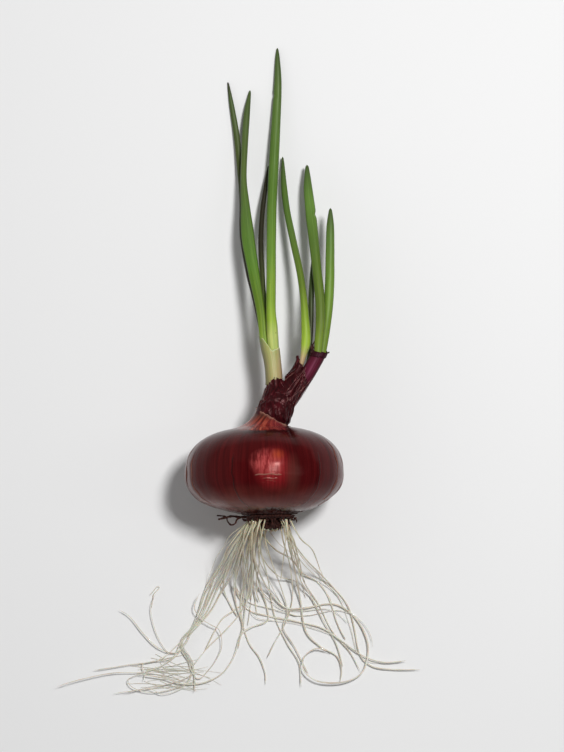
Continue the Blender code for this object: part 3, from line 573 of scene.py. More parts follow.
def bulb_paint(name="bulb_skin", papery=False):
    paint = Paint(name, 0.3, Specular_IOR_Level=0.13, Specular_Tint=(1.0, 0.55, 0.5, 1.0))
    flow = paint.flow()
    place = paint.position()
    height = paint.part(flow, 2)
    streaks = paint.noise(flow, (0.55, 0.55, 0.03), 4, 0.6)
    fine = paint.noise(flow, (2.4, 2.4, 0.05), 3, 0.6)
    blotch = paint.noise(flow, (0.09, 0.09, 0.12), 3, 0.5, 0.4)
    red = paint.ramp(streaks, [(0.3, (0.028, 0.0012, 0.0018)), (0.55, (0.053, 0.0024, 0.0032)),
                               (0.75, (0.084, 0.0045, 0.0052))])
    red = paint.fade(fine, [(0.4, 0.0), (0.75, 0.4)], red, (0.085, 0.006, 0.0075))
    # painted light: the skin glows brighter red round the highlight
    painted_glow = paint.times(paint.oval(place, PAINTED_GLOW, 1.6), paint.ramp(fine, [(0.3, 0.35), (0.6, 1.0)]))
    red = paint.mix(painted_glow, red, (0.23, 0.013, 0.016))
    # painted highlight: a pale pink streaky patch where the key lamp's reflection falls
    patchy = paint.ramp(paint.noise(flow, (0.8, 0.8, 0.22), 3, 0.6), [(0.38, 0.15), (0.58, 1.0)])
    painted_highlight = paint.times(paint.oval(place, PAINTED_HIGHLIGHT, 1.5), paint.ramp(fine, [(0.3, 0.3), (0.6, 1.0)]))
    painted_highlight = paint.times(painted_highlight, patchy)
    red = paint.mix(painted_highlight, red, (0.45, 0.075, 0.072))
    ember = paint.times(paint.oval(place, EMBER, 1.0), paint.ramp(fine, [(0.38, 0.2), (0.6, 1.0)]))
    red = paint.mix(ember, red, (0.34, 0.05, 0.016))
    # painted reflection of the strip lamp: a paler patch right of the middle
    red = paint.mix(paint.times(paint.oval(place, PAINTED_REFLECTION, 1.5), 0.55), red, (0.09, 0.024, 0.019))
    low = paint.ramp(paint.line(height, -0.05, 0.0), [(0.3, 0.0), (0.9, 1.0)])
    dull = paint.fade(blotch, [(0.35, 0.1), (0.7, 0.9)], (0.098, 0.008, 0.006), (0.21, 0.05, 0.034))
    across = paint.part(place, 0)
    leftwards = paint.ramp(paint.line(across, -0.02, 0.3), [(0.1, 0.6), (0.8, 1.0)])
    red = paint.mix(paint.times(low, leftwards), red, dull)
    foot = paint.ramp(paint.line(height, -0.05, 0.0), [(0.86, 0.0), (0.97, 1.0)])
    red = paint.mix(paint.times(foot, 0.85), red, (0.02, 0.0045, 0.0035))
    # painted shade: the top of the bulb darker towards the cone
    painted_shoulder_shade = paint.ramp(paint.times(height, 0.04), [(0.7, 0.0), (0.93, 0.7)])
    red = paint.mix(painted_shoulder_shade, red, (0.036, 0.006, 0.006))
    if papery:
        thin = paint.ramp(streaks, [(0.3, (0.075, 0.018, 0.02)), (0.55, (0.15, 0.062, 0.06)),
                                    (0.75, (0.27, 0.15, 0.15))])
        red = paint.mix(paint.times(paint.value("paper"), 0.5), red, thin)
    ochre = paint.ramp(paint.noise(flow, (0.26, 0.26, 0.06), 4, 0.75),
                       [(0.38, (0.06, 0.005, 0.004)), (0.46, (0.15, 0.014, 0.01)),
                        (0.54, (0.285, 0.038, 0.024)), (0.65, (0.5, 0.125, 0.068))])
    wine = paint.ramp(paint.line(across, 0.1, 0.0), [(0.0, 0.0), (0.7, 0.65)])
    ochre = paint.mix(wine, ochre, (0.17, 0.024, 0.034))
    brown = paint.ramp(paint.line(height, 0.1, -2.4), [(0.12, 0.0), (0.55, 0.85)])
    ochre = paint.mix(brown, ochre, (0.052, 0.02, 0.013))
    cone = paint.value("cone")
    red = paint.mix(cone, red, ochre)
    # light edges of the papery skins, and painted highlights on the creases' raised tops
    red = paint.mix(paint.value("rim"), red, (0.3, 0.15, 0.11))
    # painted shade in the folds and along the skins' edges
    red = paint.mix(paint.times(paint.value("painted_shade"), 0.9), red, (0.009, 0.0012, 0.0012))
    paint.colour(red)
    paint.roughness(paint.ramp(streaks, [(0.3, 0.17), (0.7, 0.25)]))
    paint.bump(fine, 0.05, 0.3)
    return paint.material


# Dried neck

NECK_TRUNK = [(1.0, 21.5, 36.9, 24.0, 23.0), (2.6, 26.5, 36.6, 20.4, 19.6), (4.8, 31.5, 36.3, 18.4, 17.4),
    (6.4, 36.0, 36.0, 17.4, 16.0), (6.0, 40.5, 35.8, 13.2, 12.6), (5.6, 44.5, 35.6, 9.8, 10.2),
    (5.1, 49.0, 35.3, 9.2, 9.6)]
NECK_BRANCH = [(6.0, 33.5, 35.9, 13.5, 13.0), (9.6, 38.0, 35.4, 13.6, 12.6), (13.6, 43.0, 34.8, 12.2, 11.8),
    (17.2, 48.0, 34.1, 11.6, 11.4), (20.6, 53.6, 33.3, 11.4, 10.8)]
TORN_FLAP = [(16.6, 46.0, 37.2, 5.0, 2.4), (16.6, 50.5, 37.3, 4.0, 1.8), (16.9, 55.0, 36.8, 2.6, 1.2),
    (16.8, 59.5, 36.2, 1.2, 0.8)]


def points_of(mesh):
    """The places of its points, in millimetres."""
    points = np.empty(len(mesh.vertices) * 3)
    mesh.vertices.foreach_get("co", points)
    return points.reshape(-1, 3) * METRE


def cut_off(obj, past):
    """Takes away the points for which past(points) is above zero."""
    points = points_of(obj.data)
    shape = bmesh.new()
    shape.from_mesh(obj.data)
    shape.verts.ensure_lookup_table()
    bmesh.ops.delete(shape, geom=[shape.verts[i] for i in np.nonzero(past(points) > 0)[0]], context="VERTS")
    shape.to_mesh(obj.data)
    shape.free()


def remeshed(obj, voxel, relax):
    """Joins overlapping forms into one even surface."""
    remesh = obj.modifiers.new("Even", "REMESH")
    remesh.mode = "VOXEL"
    remesh.voxel_size = voxel * MILLIMETRE
    soften = obj.modifiers.new("Soften", "SMOOTH")
    soften.iterations = relax
    bpy.context.view_layer.update()
    mesh = bpy.data.meshes.new_from_object(obj.evaluated_get(bpy.context.evaluated_depsgraph_get()))
    obj.modifiers.clear()
    obj.data = mesh
    return obj


def push(obj, amount):
    """Moves each point along its normal by amount(points), in millimetres."""
    mesh = obj.data
    points = points_of(mesh)
    normals = np.empty(points.size)
    mesh.vertex_normals.foreach_get("vector", normals)
    points += normals.reshape(-1, 3) * amount(points)[:, None]
    points[:, 2] = np.maximum(points[:, 2], TABLE_GAP)
    mesh.vertices.foreach_set("co", (points * MILLIMETRE).reshape(-1))
    mesh.update()


def neck_folds(points):
    """Long folds that run up the neck, and finer crumpled ones across them."""
    swung = points.copy()
    swung[:, 0] -= np.maximum(points[:, 1] - 33.0, 0) * 0.62 * smooth(4.0, 12.0, points[:, 0])
    warp = noise(points, (9, 9, 9), 2, 33) * 2.2
    folds = 1 - np.abs(noise(swung + warp[:, None] * [1, 0, 1], (2.3, 15.0, 2.3), 2, 31)) * 2.2
    crumple = 1 - np.abs(noise(swung, (3.0, 4.0, 3.0), 3, 37)) * 2.0
    foot = smooth(-0.5, 3.0, beyond(points, NECK_SEAM))
    return (0.55 * folds + 0.3 * crumple - 0.35) * foot - 0.9 * (1 - foot)


def collar_past(points):
    """How far points lie past the collar's domed rim round the stalk."""
    x = points[:, 0] - 6.0
    rim = 48.6 - np.where(x < 0, 0.17, 0.08) * x * x
    return np.where(points[:, 0] < 10.3, points[:, 1] - rim, FAR_SHORT)


def build_neck(material):
    def solid(stations):
        return grid_object("form", sweep(stations, 40, 0.8)[0])

    forms = [solid(NECK_TRUNK), solid(NECK_BRANCH), solid(TORN_FLAP)]
    neck = remeshed(join("onion_neck", forms), voxel=0.34, relax=6)
    push(neck, neck_folds)
    cut_off(neck, lambda p: beyond(p, FORK_MOUTH) - 0.9 + 1.2 * noise(p, (1.2, 2.0, 1.2), 3, 61))
    cut_off(neck, lambda p: collar_past(p) + 0.9 * noise(p, (1.0, 1.0, 1.0), 2, 67))
    cut_off(neck, lambda p: -2.0 - beyond(p, NECK_SEAM))
    place(neck, material, "dry_neck", "dry_neck")


FIBRES = 15


def build_fibres(material):
    """Loose fibres of dead skin that run up the neck and stand off it a little."""
    rng = random.Random(SEEDS["fibres"])
    surfaces = [sweep(NECK_BRANCH, 72, 0.5), sweep(NECK_TRUNK[2:], 72, 0.5)]
    grids = []
    for number in range(FIBRES):
        points = surfaces[0 if number % 3 else 1][0]
        rows, sides = points.shape[:2]
        first = rng.uniform(0.15, 0.6) * rows
        last = min(rows - 1.0, first + rng.uniform(0.2, 0.6) * rows)
        turn = rng.uniform(0.03, 0.47) * sides
        drift = rng.uniform(-0.12, 0.12) * sides
        middle = points.mean(axis=1)
        line = []
        for step in np.linspace(0, 1, 9):
            row = int(first + (last - first) * step)
            spot = points[row, int(turn + drift * step) % sides]
            lift = 0.25 + 0.5 * math.sin(step * 3.1) * rng.uniform(0.2, 1.0)
            line.append(middle[row] + (spot - middle[row]) * (1 + lift / np.linalg.norm(spot - middle[row])))
        grids.append(tube(spline_through(line, 0.5), rng.uniform(0.14, 0.26), 5, rng, taper=0.5, wobble=0.2))
    place(merged("onion_neck_fibres", grids), material, "dry_neck", "dry_neck")


def fibre_paint():
    paint = Paint("neck_fibres", 0.45)
    shades = paint.noise(paint.position(), (0.5, 0.5, 0.5), 2, 0.6)
    paint.colour(paint.ramp(shades, [(0.35, (0.06, 0.01, 0.013)), (0.5, (0.18, 0.045, 0.045)),
                                     (0.7, (0.42, 0.21, 0.16))]))
    return paint.material


def neck_paint():
    paint = Paint("dry_neck", 0.3, Specular_IOR_Level=0.18, Specular_Tint=(1.0, 0.5, 0.5, 1.0))
    place = paint.position()
    long_streaks = paint.noise(place, (1.3, 0.16, 1.3), 4, 0.65, 0.6)
    blotch = paint.noise(place, (0.28, 0.2, 0.28), 3, 0.6, 0.5)
    dark = paint.ramp(long_streaks, [(0.35, (0.008, 0.001, 0.0016)), (0.55, (0.03, 0.0022, 0.0036)),
                                     (0.72, (0.07, 0.005, 0.008))])
    colour = paint.fade(blotch, [(0.5, 0.0), (0.75, 0.6)], dark, (0.095, 0.007, 0.013))
    paint.colour(colour)
    paint.roughness(paint.ramp(blotch, [(0.3, 0.5), (0.6, 0.26)]))
    paint.bump(long_streaks, 0.12, 0.5)
    return paint.material


# Sheaths

LEFT_STALK = [(5.0, 45.0, 35.6, 8.4, 8.4), (4.9, 50.0, 35.1, 8.5, 8.5), (4.2, 57.0, 34.0, 8.6, 8.7),
    (3.0, 64.0, 32.9, 9.3, 9.0), (2.2, 71.0, 31.6, 10.0, 9.2), (1.6, 76.0, 30.6, 10.0, 9.2)]
PURPLE_SCALE = [(17.9, 43.7, 34.3, 6.2, 6.2), (21.4, 49.7, 33.7, 7.0, 6.8), (24.7, 55.5, 32.8, 7.2, 6.9),
    (27.0, 60.0, 31.9, 7.3, 7.0), (28.0, 64.5, 31.2, 7.8, 7.4)]


def stalk_past(points):
    """How far points lie past the stalk's mouth: a V seen from the front, with its long arm on the left."""
    x, y, z = points[..., 0], points[..., 1], points[..., 2]
    rim = 61.8 + 1.33 * np.maximum(4.0 - x, 0) + 0.45 * np.maximum(x - 4.0, 0)
    front = smooth(32.0, 34.5, z)
    return (y - rim) * front + beyond(points, STALK_MOUTH) * (1 - front)


def scale_past(points):
    """How far points lie past the scale's mouth."""
    return beyond(points, SCALE_MOUTH)


def sheath(name, stations, past, start, material, slot, size, hollow, seed, ribs, lip):
    """A tube that starts at a plane and ends in an open mouth, with a thin edge, a lip and a hollow inside."""
    def relief(turn, run):
        uneven = 0.025 * noise(ring_of(turn, run, 3), (3, 3, 9), 2, seed)
        fine = 0.01 * np.cos(ribs * turn) + 0.006 * np.cos((ribs * 2 + 3) * turn + run * 0.05)
        return fine + uneven

    outer, turn, run = sweep(stations, 96, 0.5, relief)
    edge = past(outer) + 0.3 * noise(outer, (1.3, 1.3, 1.3), 2, seed)
    first = np.argmax(beyond(outer, start) > -0.4, axis=0)
    last = np.argmax(edge > 0, axis=0)
    rows = max(last) + 1
    sides = np.arange(turn.shape[1])
    grid, runs = [], []
    for share in np.linspace(0, 1, rows):
        at = first + share * (last - first)
        low = np.floor(at).astype(int)
        part = (at - low)[:, None]
        grid.append(outer[low, sides] * (1 - part) + outer[np.minimum(low + 1, len(outer) - 1), sides] * part)
        runs.append(np.interp(at, np.arange(len(outer)), run[:, 0]))
    grid, runs = np.array(grid), np.array(runs)
    middle = grid.mean(axis=1, keepdims=True)
    to_mouth = np.linspace(1, 0, rows) * rows * 0.5
    swell = bell(to_mouth, 0.6)[:, None, None]
    flare = lip * (1 + 1.4 * np.maximum(np.cos(turn[:1]), 0))[..., None]
    grid = grid + (grid - middle) * swell * flare / size
    middle = grid.mean(axis=1, keepdims=True)
    inner = middle[-1] + (grid[-1] - middle[-1]) * (1 - 0.45 / size)
    tangent = middle[-1, 0] - middle[-4, 0]
    tangent /= np.linalg.norm(tangent)
    lining = [inner - tangent * depth for depth in np.linspace(0.15, hollow, 6)]
    floor = lining[-1].mean(axis=0) + (lining[-1] - lining[-1].mean(axis=0)) * 0.1
    grid = np.vstack([grid, np.array(lining), floor[None]])
    runs = np.vstack([runs, np.repeat(runs[-1:], 7, axis=0)])
    rim = np.concatenate([bell(to_mouth, 0.5), np.full(7, 0.4)])
    values = {"flow": ring_of(turn[:1] + 0 * runs, runs, size), "along": runs / run[-1, 0],
              "rim": rim[:, None] + 0 * runs}
    place(grid_object("onion_" + name, grid, values), material, slot, name)


def build_tatter(material):
    """A dark torn scrap that stands up from the purple scale's mouth, left of the leaves."""
    share = np.linspace(0, 1, 26)[:, None]
    side = np.linspace(-1, 1, 9)[None, :]
    width = 1.3 * (1 - share) ** 0.6 * (1 + 0.3 * np.sin(share * 17)) + 0.08
    x = 24.0 + 0.5 * share + width * side * 0.8 + 0.6 * share ** 3
    y = 61.0 + 6.2 * share + 0.5 * side * np.sin(share * 9)
    z = 33.8 - 1.2 * share + 0.8 * np.abs(side) * (1 - share) + 0.3 * np.sin(share * 12 + side)
    sheet = np.stack([x, y, z + 0 * x], axis=-1)
    tatter = grid_object("onion_scale_tatter", doubled(sheet, [0, 0, -0.25]))
    place(tatter, material, "purple_scale", "purple_scale")


def stalk_paint():
    paint = Paint("stalk", 0.45, Subsurface_Weight=0.15, Subsurface_Scale=0.002, Specular_IOR_Level=0.35)
    flow = paint.flow()
    along = paint.value("along")
    veins = paint.noise(flow, (1.6, 1.6, 0.02), 3, 0.6)
    base = paint.ramp(along, [(0.1, (0.46, 0.38, 0.165)), (0.3, (0.47, 0.41, 0.18)), (0.5, (0.42, 0.39, 0.15)),
                              (0.8, (0.48, 0.53, 0.19))])
    streaked = paint.fade(veins, [(0.4, 0.0), (0.65, 0.55)], base, (0.25, 0.31, 0.075))
    x = paint.part(paint.position(), 0)
    right = paint.ramp(paint.line(x, 0.1, 0.0), [(0.55, 0.0), (0.85, 1.0)])
    blush = paint.times(right, paint.ramp(along, [(0.35, 1.0), (0.62, 0.0)]))
    blushed = paint.mix(paint.times(blush, 0.6), streaked, (0.43, 0.27, 0.17))
    # painted shade: the stalk darker along its left side and along its right edge
    side = paint.part(flow, 0)
    left = paint.ramp(paint.times(side, -0.23), [(0.25, 0.0), (0.95, 0.88)])
    shaded = paint.mix(left, blushed, (0.105, 0.098, 0.036))
    edge = paint.ramp(paint.times(side, 0.23), [(0.74, 0.0), (1.0, 0.6)])
    shaded = paint.mix(edge, shaded, (0.17, 0.12, 0.07))
    paint.colour(paint.mix(paint.value("rim"), shaded, (0.62, 0.66, 0.36)))
    paint.bump(veins, 0.08, 0.5)
    return paint.material


def scale_paint():
    paint = Paint("purple_scale", 0.48, Specular_IOR_Level=0.17, Specular_Tint=(1.0, 0.55, 0.75, 1.0))
    flow = paint.flow()
    veins = paint.noise(flow, (1.7, 1.7, 0.03), 4, 0.65)
    base = paint.ramp(veins, [(0.3, (0.048, 0.0035, 0.01)), (0.5, (0.105, 0.0095, 0.027)),
                              (0.72, (0.19, 0.026, 0.068))])
    along = paint.part(paint.position(), 1)
    low = paint.ramp(paint.line(along, 0.05, -2.2), [(0.0, 0.8), (0.5, 0.0)])
    shaded = paint.mix(low, base, (0.05, 0.005, 0.01))
    high = paint.ramp(paint.line(along, 0.1, -5.2), [(0.1, 0.0), (0.65, 0.65)])
    shaded = paint.mix(high, shaded, (0.058, 0.0055, 0.011))
    # painted shade: the scale darker towards both sides
    side = paint.part(flow, 0)
    side = paint.ramp(paint.times(paint.math("ABSOLUTE", side), 0.28), [(0.55, 0.0), (0.95, 0.7)])
    shaded = paint.mix(side, shaded, (0.034, 0.0035, 0.008))
    rim = paint.ramp(paint.value("rim"), [(0.01, 0.0), (0.3, 0.95)])
    paint.colour(paint.mix(rim, shaded, (0.026, 0.0035, 0.006)))
    paint.bump(veins, 0.1, 0.5)
    return paint.material


# Leaves

LEAVES = {
    "leaf_centre": [(5.0, 56.5, 34.9, 5.6, 5.8), (4.4, 66.1, 33.0, 5.8, 5.8), (3.9, 74.0, 31.1, 5.6, 5.0),
        (3.4, 83.2, 28.8, 4.9, 4.6), (3.5, 101.9, 23.2, 4.8, 4.5), (3.7, 129.0, 14.6, 4.9, 4.4),
        (4.7, 155.2, 7.9, 5.0, 4.2), (5.9, 178.3, 4.2, 4.7, 3.8), (6.8, 197.8, 2.2, 4.0, 3.2),
        (6.7, 210.2, 1.3, 2.6, 2.2), (6.6, 216.8, 0.6, 0.7, 0.7)],
    "leaf_left_front": [(1.2, 58.0, 33.4, 3.0, 2.6), (-0.4, 69.0, 33.6, 3.6, 3.0),
        (-1.9, 83.1, 30.8, 4.3, 2.8), (-5.2, 101.4, 25.6, 5.6, 2.8), (-8.3, 120.2, 20.0, 6.6, 2.9),
        (-9.8, 138.7, 14.4, 4.2, 3.6), (-10.5, 150.5, 11.0, 3.1, 3.9), (-9.9, 168.5, 6.6, 3.3, 3.4),
        (-8.9, 183.0, 3.6, 3.2, 2.8), (-7.3, 195.2, 0.6, 0.7, 0.7)],
    "leaf_left_back": [(0.9, 62.1, 31.2, 2.6, 2.2), (-0.6, 69.5, 29.4, 2.8, 2.4),
        (-2.1, 77.0, 27.2, 2.9, 2.5), (-4.7, 89.3, 23.2, 3.1, 2.7), (-7.8, 102.1, 19.0, 3.2, 2.8),
        (-10.9, 120.5, 13.4, 3.1, 2.8), (-11.2, 138.4, 8.4, 3.0, 2.8), (-12.6, 157.0, 4.2, 3.0, 2.6),
        (-14.2, 172.4, 2.2, 3.0, 2.4), (-16.7, 187.7, 1.2, 2.4, 1.9), (-18.6, 199.4, 0.6, 0.7, 0.7)],
    "leaf_centre_back": [(2.6, 62.1, 30.6, 1.8, 1.8), (1.3, 76.2, 26.6, 1.9, 1.8),
        (-0.3, 92.4, 21.4, 2.3, 2.0), (-1.7, 114.3, 14.6, 2.8, 2.2), (-1.1, 131.3, 9.4, 2.6, 2.2),
        (0.7, 145.7, 5.2, 2.2, 1.9), (2.0, 156.6, 2.6, 0.7, 0.7)],
    "leaf_right_inner": [(17.2, 49.0, 33.8, 2.0, 2.6), (18.7, 55.5, 32.8, 2.4, 3.0),
        (19.9, 60.5, 31.9, 3.3, 3.2), (20.9, 65.5, 31.1, 4.8, 3.4), (21.0, 71.5, 30.0, 4.7, 3.5),
        (20.6, 78.0, 28.9, 4.2, 3.4), (19.9, 88.3, 26.4, 3.6, 3.3), (18.0, 102.0, 22.2, 3.4, 3.2),
        (14.9, 116.8, 16.6, 3.5, 3.2), (11.6, 132.7, 11.0, 3.4, 3.0), (9.9, 147.2, 6.6, 3.0, 2.6),
        (9.3, 161.1, 3.6, 0.7, 0.7)],
    "leaf_right_tall": [(26.7, 58.0, 33.6, 3.8, 2.8), (27.4, 66.1, 32.6, 4.3, 3.0),
        (28.3, 76.1, 30.6, 4.7, 3.3), (28.1, 88.2, 27.6, 4.8, 3.6), (26.7, 101.9, 23.8, 4.8, 3.8),
        (25.2, 116.7, 19.2, 5.1, 3.8), (23.6, 131.0, 14.6, 5.3, 3.6), (22.2, 144.4, 10.6, 4.4, 3.2),
        (21.7, 156.8, 7.4, 0.7, 0.7)],
    "leaf_right_short": [(28.9, 58.5, 29.8, 3.6, 2.6), (30.1, 66.1, 28.9, 4.0, 2.9),
        (31.7, 78.2, 27.0, 4.5, 3.3), (32.9, 94.3, 24.4, 4.8, 3.6), (33.2, 109.5, 22.0, 4.5, 3.4),
        (33.4, 124.2, 20.0, 3.9, 3.0), (33.5, 134.3, 18.8, 0.7, 0.7)],
    "leaf_right_back": [(18.8, 46.0, 29.2, 1.8, 1.4), (20.9, 52.5, 28.6, 1.8, 1.4),
        (22.7, 60.1, 26.9, 2.0, 1.8), (23.5, 72.7, 24.6, 2.5, 2.0), (23.7, 87.9, 21.6, 3.0, 2.2),
        (24.3, 101.6, 18.4, 2.4, 2.0), (24.8, 112.3, 15.6, 0.7, 0.7)],
}
LEAF_SIDES = 40
LEAF_SPACING = 0.9
LEAF_SIZE = 2.5  # radius at which patterns run along a leaf
TIP_WIDTH = 0.35
TIP_GREEN = (0.055, 0.085, 0.025)
SHADED_GREEN = (0.06, 0.08, 0.018)
# the brown of dry tips, also used as painted shade on the back leaves
DARK_BROWN = (0.02, 0.014, 0.007)
# For each leaf, the colours along it from its base to its tip.
# The back leaves are dark over much of their length: painted shade where they lie behind the front leaves.
LEAF_COLOURS = {
    "leaf_centre": [(0.0, (0.46, 0.53, 0.155)), (0.08, (0.46, 0.53, 0.155)), (0.13, (0.3, 0.44, 0.05)),
        (0.19, (0.225, 0.35, 0.038)), (0.34, (0.148, 0.27, 0.036)), (0.55, (0.092, 0.18, 0.023)),
        (0.8, (0.084, 0.15, 0.028)), (1.0, TIP_GREEN)],
    "leaf_left_front": [(0.0, (0.27, 0.4, 0.045)), (0.1, (0.16, 0.25, 0.02)), (0.2, (0.105, 0.178, 0.013)),
        (0.35, (0.095, 0.2, 0.022)), (0.5, (0.088, 0.165, 0.026)), (0.7, (0.09, 0.135, 0.031)),
        (1.0, TIP_GREEN)],
    # painted shade: dark maroon over its lower half, where it lies behind the front leaf
    "leaf_left_back": [(0.0, (0.05, 0.04, 0.014)), (0.14, (0.024, 0.011, 0.008)),
        (0.52, (0.022, 0.01, 0.008)), (0.6, (0.042, 0.052, 0.016)), (0.75, SHADED_GREEN), (0.93, TIP_GREEN),
        (1.0, DARK_BROWN)],
    # painted shade: darker from its middle to its tip, where it lies behind the centre leaf
    "leaf_centre_back": [(0.0, (0.148, 0.27, 0.036)), (0.3, SHADED_GREEN), (0.55, DARK_BROWN),
        (1.0, DARK_BROWN)],
    "leaf_right_inner": [(0.0, (0.52, 0.36, 0.23)), (0.08, (0.5, 0.35, 0.2)), (0.14, (0.32, 0.46, 0.045)),
        (0.22, (0.255, 0.38, 0.033)), (0.4, (0.12, 0.185, 0.02)), (0.62, (0.098, 0.168, 0.028)),
        (0.85, (0.08, 0.15, 0.024)), (1.0, TIP_GREEN)],
    "leaf_right_tall": [(0.0, (0.165, 0.245, 0.024)), (0.1, (0.15, 0.225, 0.02)),
        (0.2, (0.105, 0.155, 0.017)), (0.6, (0.09, 0.16, 0.024)), (0.8, (0.125, 0.235, 0.038)),
        (1.0, TIP_GREEN)],
    "leaf_right_short": [(0.0, (0.165, 0.245, 0.024)), (0.25, (0.128, 0.215, 0.018)),
        (0.42, (0.15, 0.26, 0.032)), (0.8, (0.1, 0.185, 0.032)), (1.0, TIP_GREEN)],
    "leaf_right_back": [(0.0, SHADED_GREEN), (0.4, DARK_BROWN), (0.8, TIP_GREEN), (1.0, DARK_BROWN)],
}


def leaf_relief(name):
    """Fine ribs along a leaf, shallow dents, and the creases and kinks that this leaf has."""
    seed = sum(ord(letter) for letter in name)

    def relief(turn, run):
        ribs = 0.01 * np.cos(18 * turn + 0.3 * np.sin(run * 0.05)) + 0.006 * np.cos(31 * turn)
        swell = ribs + 0.05 * noise(ring_of(turn, run, 2), (1.6, 1.6, 14.0), 2, seed)
        if name == "leaf_left_front":
            fold = bell(turn - 1.15, 0.16) * smooth(0, 6, run) * smooth(48, 34, run)
            swell = swell - 0.16 * fold
            swell = swell - 0.1 * bell(turn - 2.4, 0.25) * smooth(60, 76, run) * smooth(104, 92, run)
        if name == "leaf_centre":
            swell = swell - 0.16 * bell(run - 140.0, 1.0) * smooth(0.2, -0.6, np.cos(turn))
        if name == "leaf_right_tall":
            swell = swell - 0.22 * bell(run - 76.0, 1.3) * smooth(-0.1, 0.7, np.cos(turn))
        return swell

    return relief


def build_leaf(name, stations, material):
    before, tip = stations[-2], stations[-1][:3] + (TIP_WIDTH, TIP_WIDTH)
    near = [0.12 * a + 0.88 * b for a, b in zip(before[:3], tip)] + [0.42 * size for size in before[3:]]
    stations = stations[:-1] + [tuple(near), tip]
    points, turn, run = sweep(stations, LEAF_SIDES, LEAF_SPACING, leaf_relief(name))
    values = {"flow": ring_of(turn, run, LEAF_SIZE), "along": run / run[-1, 0]}
    slot = "leaf_back" if name.endswith("_back") else "leaf"
    place(grid_object("onion_" + name, points, values), material, slot, name)


def leaf_paint(name):
    paint = Paint(name, 0.4, Specular_IOR_Level=0.33, Subsurface_Weight=0.08, Subsurface_Scale=0.0015,
                  Specular_Tint=(0.85, 1.0, 0.7, 1.0))
    flow = paint.flow()
    along = paint.value("along")
    base = paint.ramp(along, LEAF_COLOURS[name])
    lines = paint.noise(flow, (2.6, 2.6, 0.03), 3, 0.7)
    patches = paint.noise(flow, (0.5, 0.5, 0.06), 3, 0.55)
    light = paint.mix(1.0, base, (1.35, 1.27, 1.25), "MULTIPLY")
    dark = paint.mix(1.0, base, (0.66, 0.74, 0.66), "MULTIPLY")
    lined = paint.fade(lines, [(0.32, 0.0), (0.68, 1.0)], dark, light)
    patched = paint.fade(patches, [(0.35, 0.0), (0.7, 0.35)], lined, dark)
    # painted shade: each leaf darker along both its edges
    side = paint.part(flow, 0)
    edge = paint.ramp(paint.times(paint.math("ABSOLUTE", side), 0.4), [(0.84, 0.0), (1.0, 0.55)])
    patched = paint.mix(edge, patched, (0.03, 0.036, 0.014))
    specks = paint.noise(flow, (0.9, 0.9, 0.45), 2, 0.4)
    paint.colour(paint.fade(specks, [(0.76, 0.0), (0.8, 0.6)], patched, (0.045, 0.06, 0.02)))
    paint.roughness(paint.ramp(patches, [(0.3, 0.36), (0.7, 0.52)]))
    paint.bump(lines, 0.08, 0.5)
    return paint.material


# Root plate

CRUMBS = 330
DEAD_ROOTS = 26
PLATE_TOP = -20.3
PLATE_PROFILE = [(0.1, PLATE_TOP), (12.8, PLATE_TOP), (13.6, -20.9), (12.4, -21.7), (7.9, -22.0),
    (7.4, -25.0), (5.8, -26.6), (0.1, -27.2)]
DRIED_ROOTS = [
    [(-9.0, -21.0), (-13.0, -20.9), (-16.0, -20.6), (-19.5, -21.3), (-23.0, -22.2)],
    [(-10.5, -21.0), (-13.3, -22.0), (-14.4, -24.2), (-16.5, -24.9), (-18.2, -23.2), (-19.2, -20.9),
     (-23.6, -20.2)],
]


def tube(route, width, sides, rng, taper=0.35, wobble=0.12):
    """Rings of points along a root, with its uneven thickness."""
    route = np.array(route)
    tangents = np.gradient(route, axis=0)
    tangents /= np.maximum(np.linalg.norm(tangents, axis=1), 1e-6)[:, None]
    level = np.array([0.13, 0.07, 0.99])
    across = np.cross(tangents, level)
    across /= np.linalg.norm(across, axis=1)[:, None]
    outward = np.cross(across, tangents)
    share = np.linspace(0, 1, len(route))
    phase = rng.uniform(*ANY_PHASE)
    waves = rng.uniform(15, 30)
    uneven = 1 + wobble * np.sin(share * waves + phase) + wobble * 0.6 * np.sin(share * 61 + phase)
    half = width / 2 * (1 - taper * share) * uneven
    half = half * np.where(share > 0.985, 0.4, 1.0)
    turn = turns(sides)[None, :, None]
    ring = np.cos(turn) * across[:, None] + np.sin(turn) * outward[:, None]
    return route[:, None] + ring * half[:, None, None]


def blob(place, size, rng, squash):
    """A crumb: a ball with few faces, pushed out of round."""
    rows, sides = 5, 7
    polar = np.linspace(0.25, math.pi - 0.25, rows)[:, None]
    turn = turns(sides)[None, :]
    shape = ring_of(turn, np.cos(polar) + 0 * turn, np.sin(polar))
    rough = 1 + 0.3 * np.array([[rng.uniform(-1, 1) for _ in range(sides)] for _ in range(rows)])
    return np.array(place) + shape * rough[..., None] * size * np.array(squash)


def on_plate(radius, turn, height):
    """A place on the root plate, in the table's frame."""
    return to_table(np.array([radius * math.cos(turn) + BASE_LEAN, radius * math.sin(turn), height]))


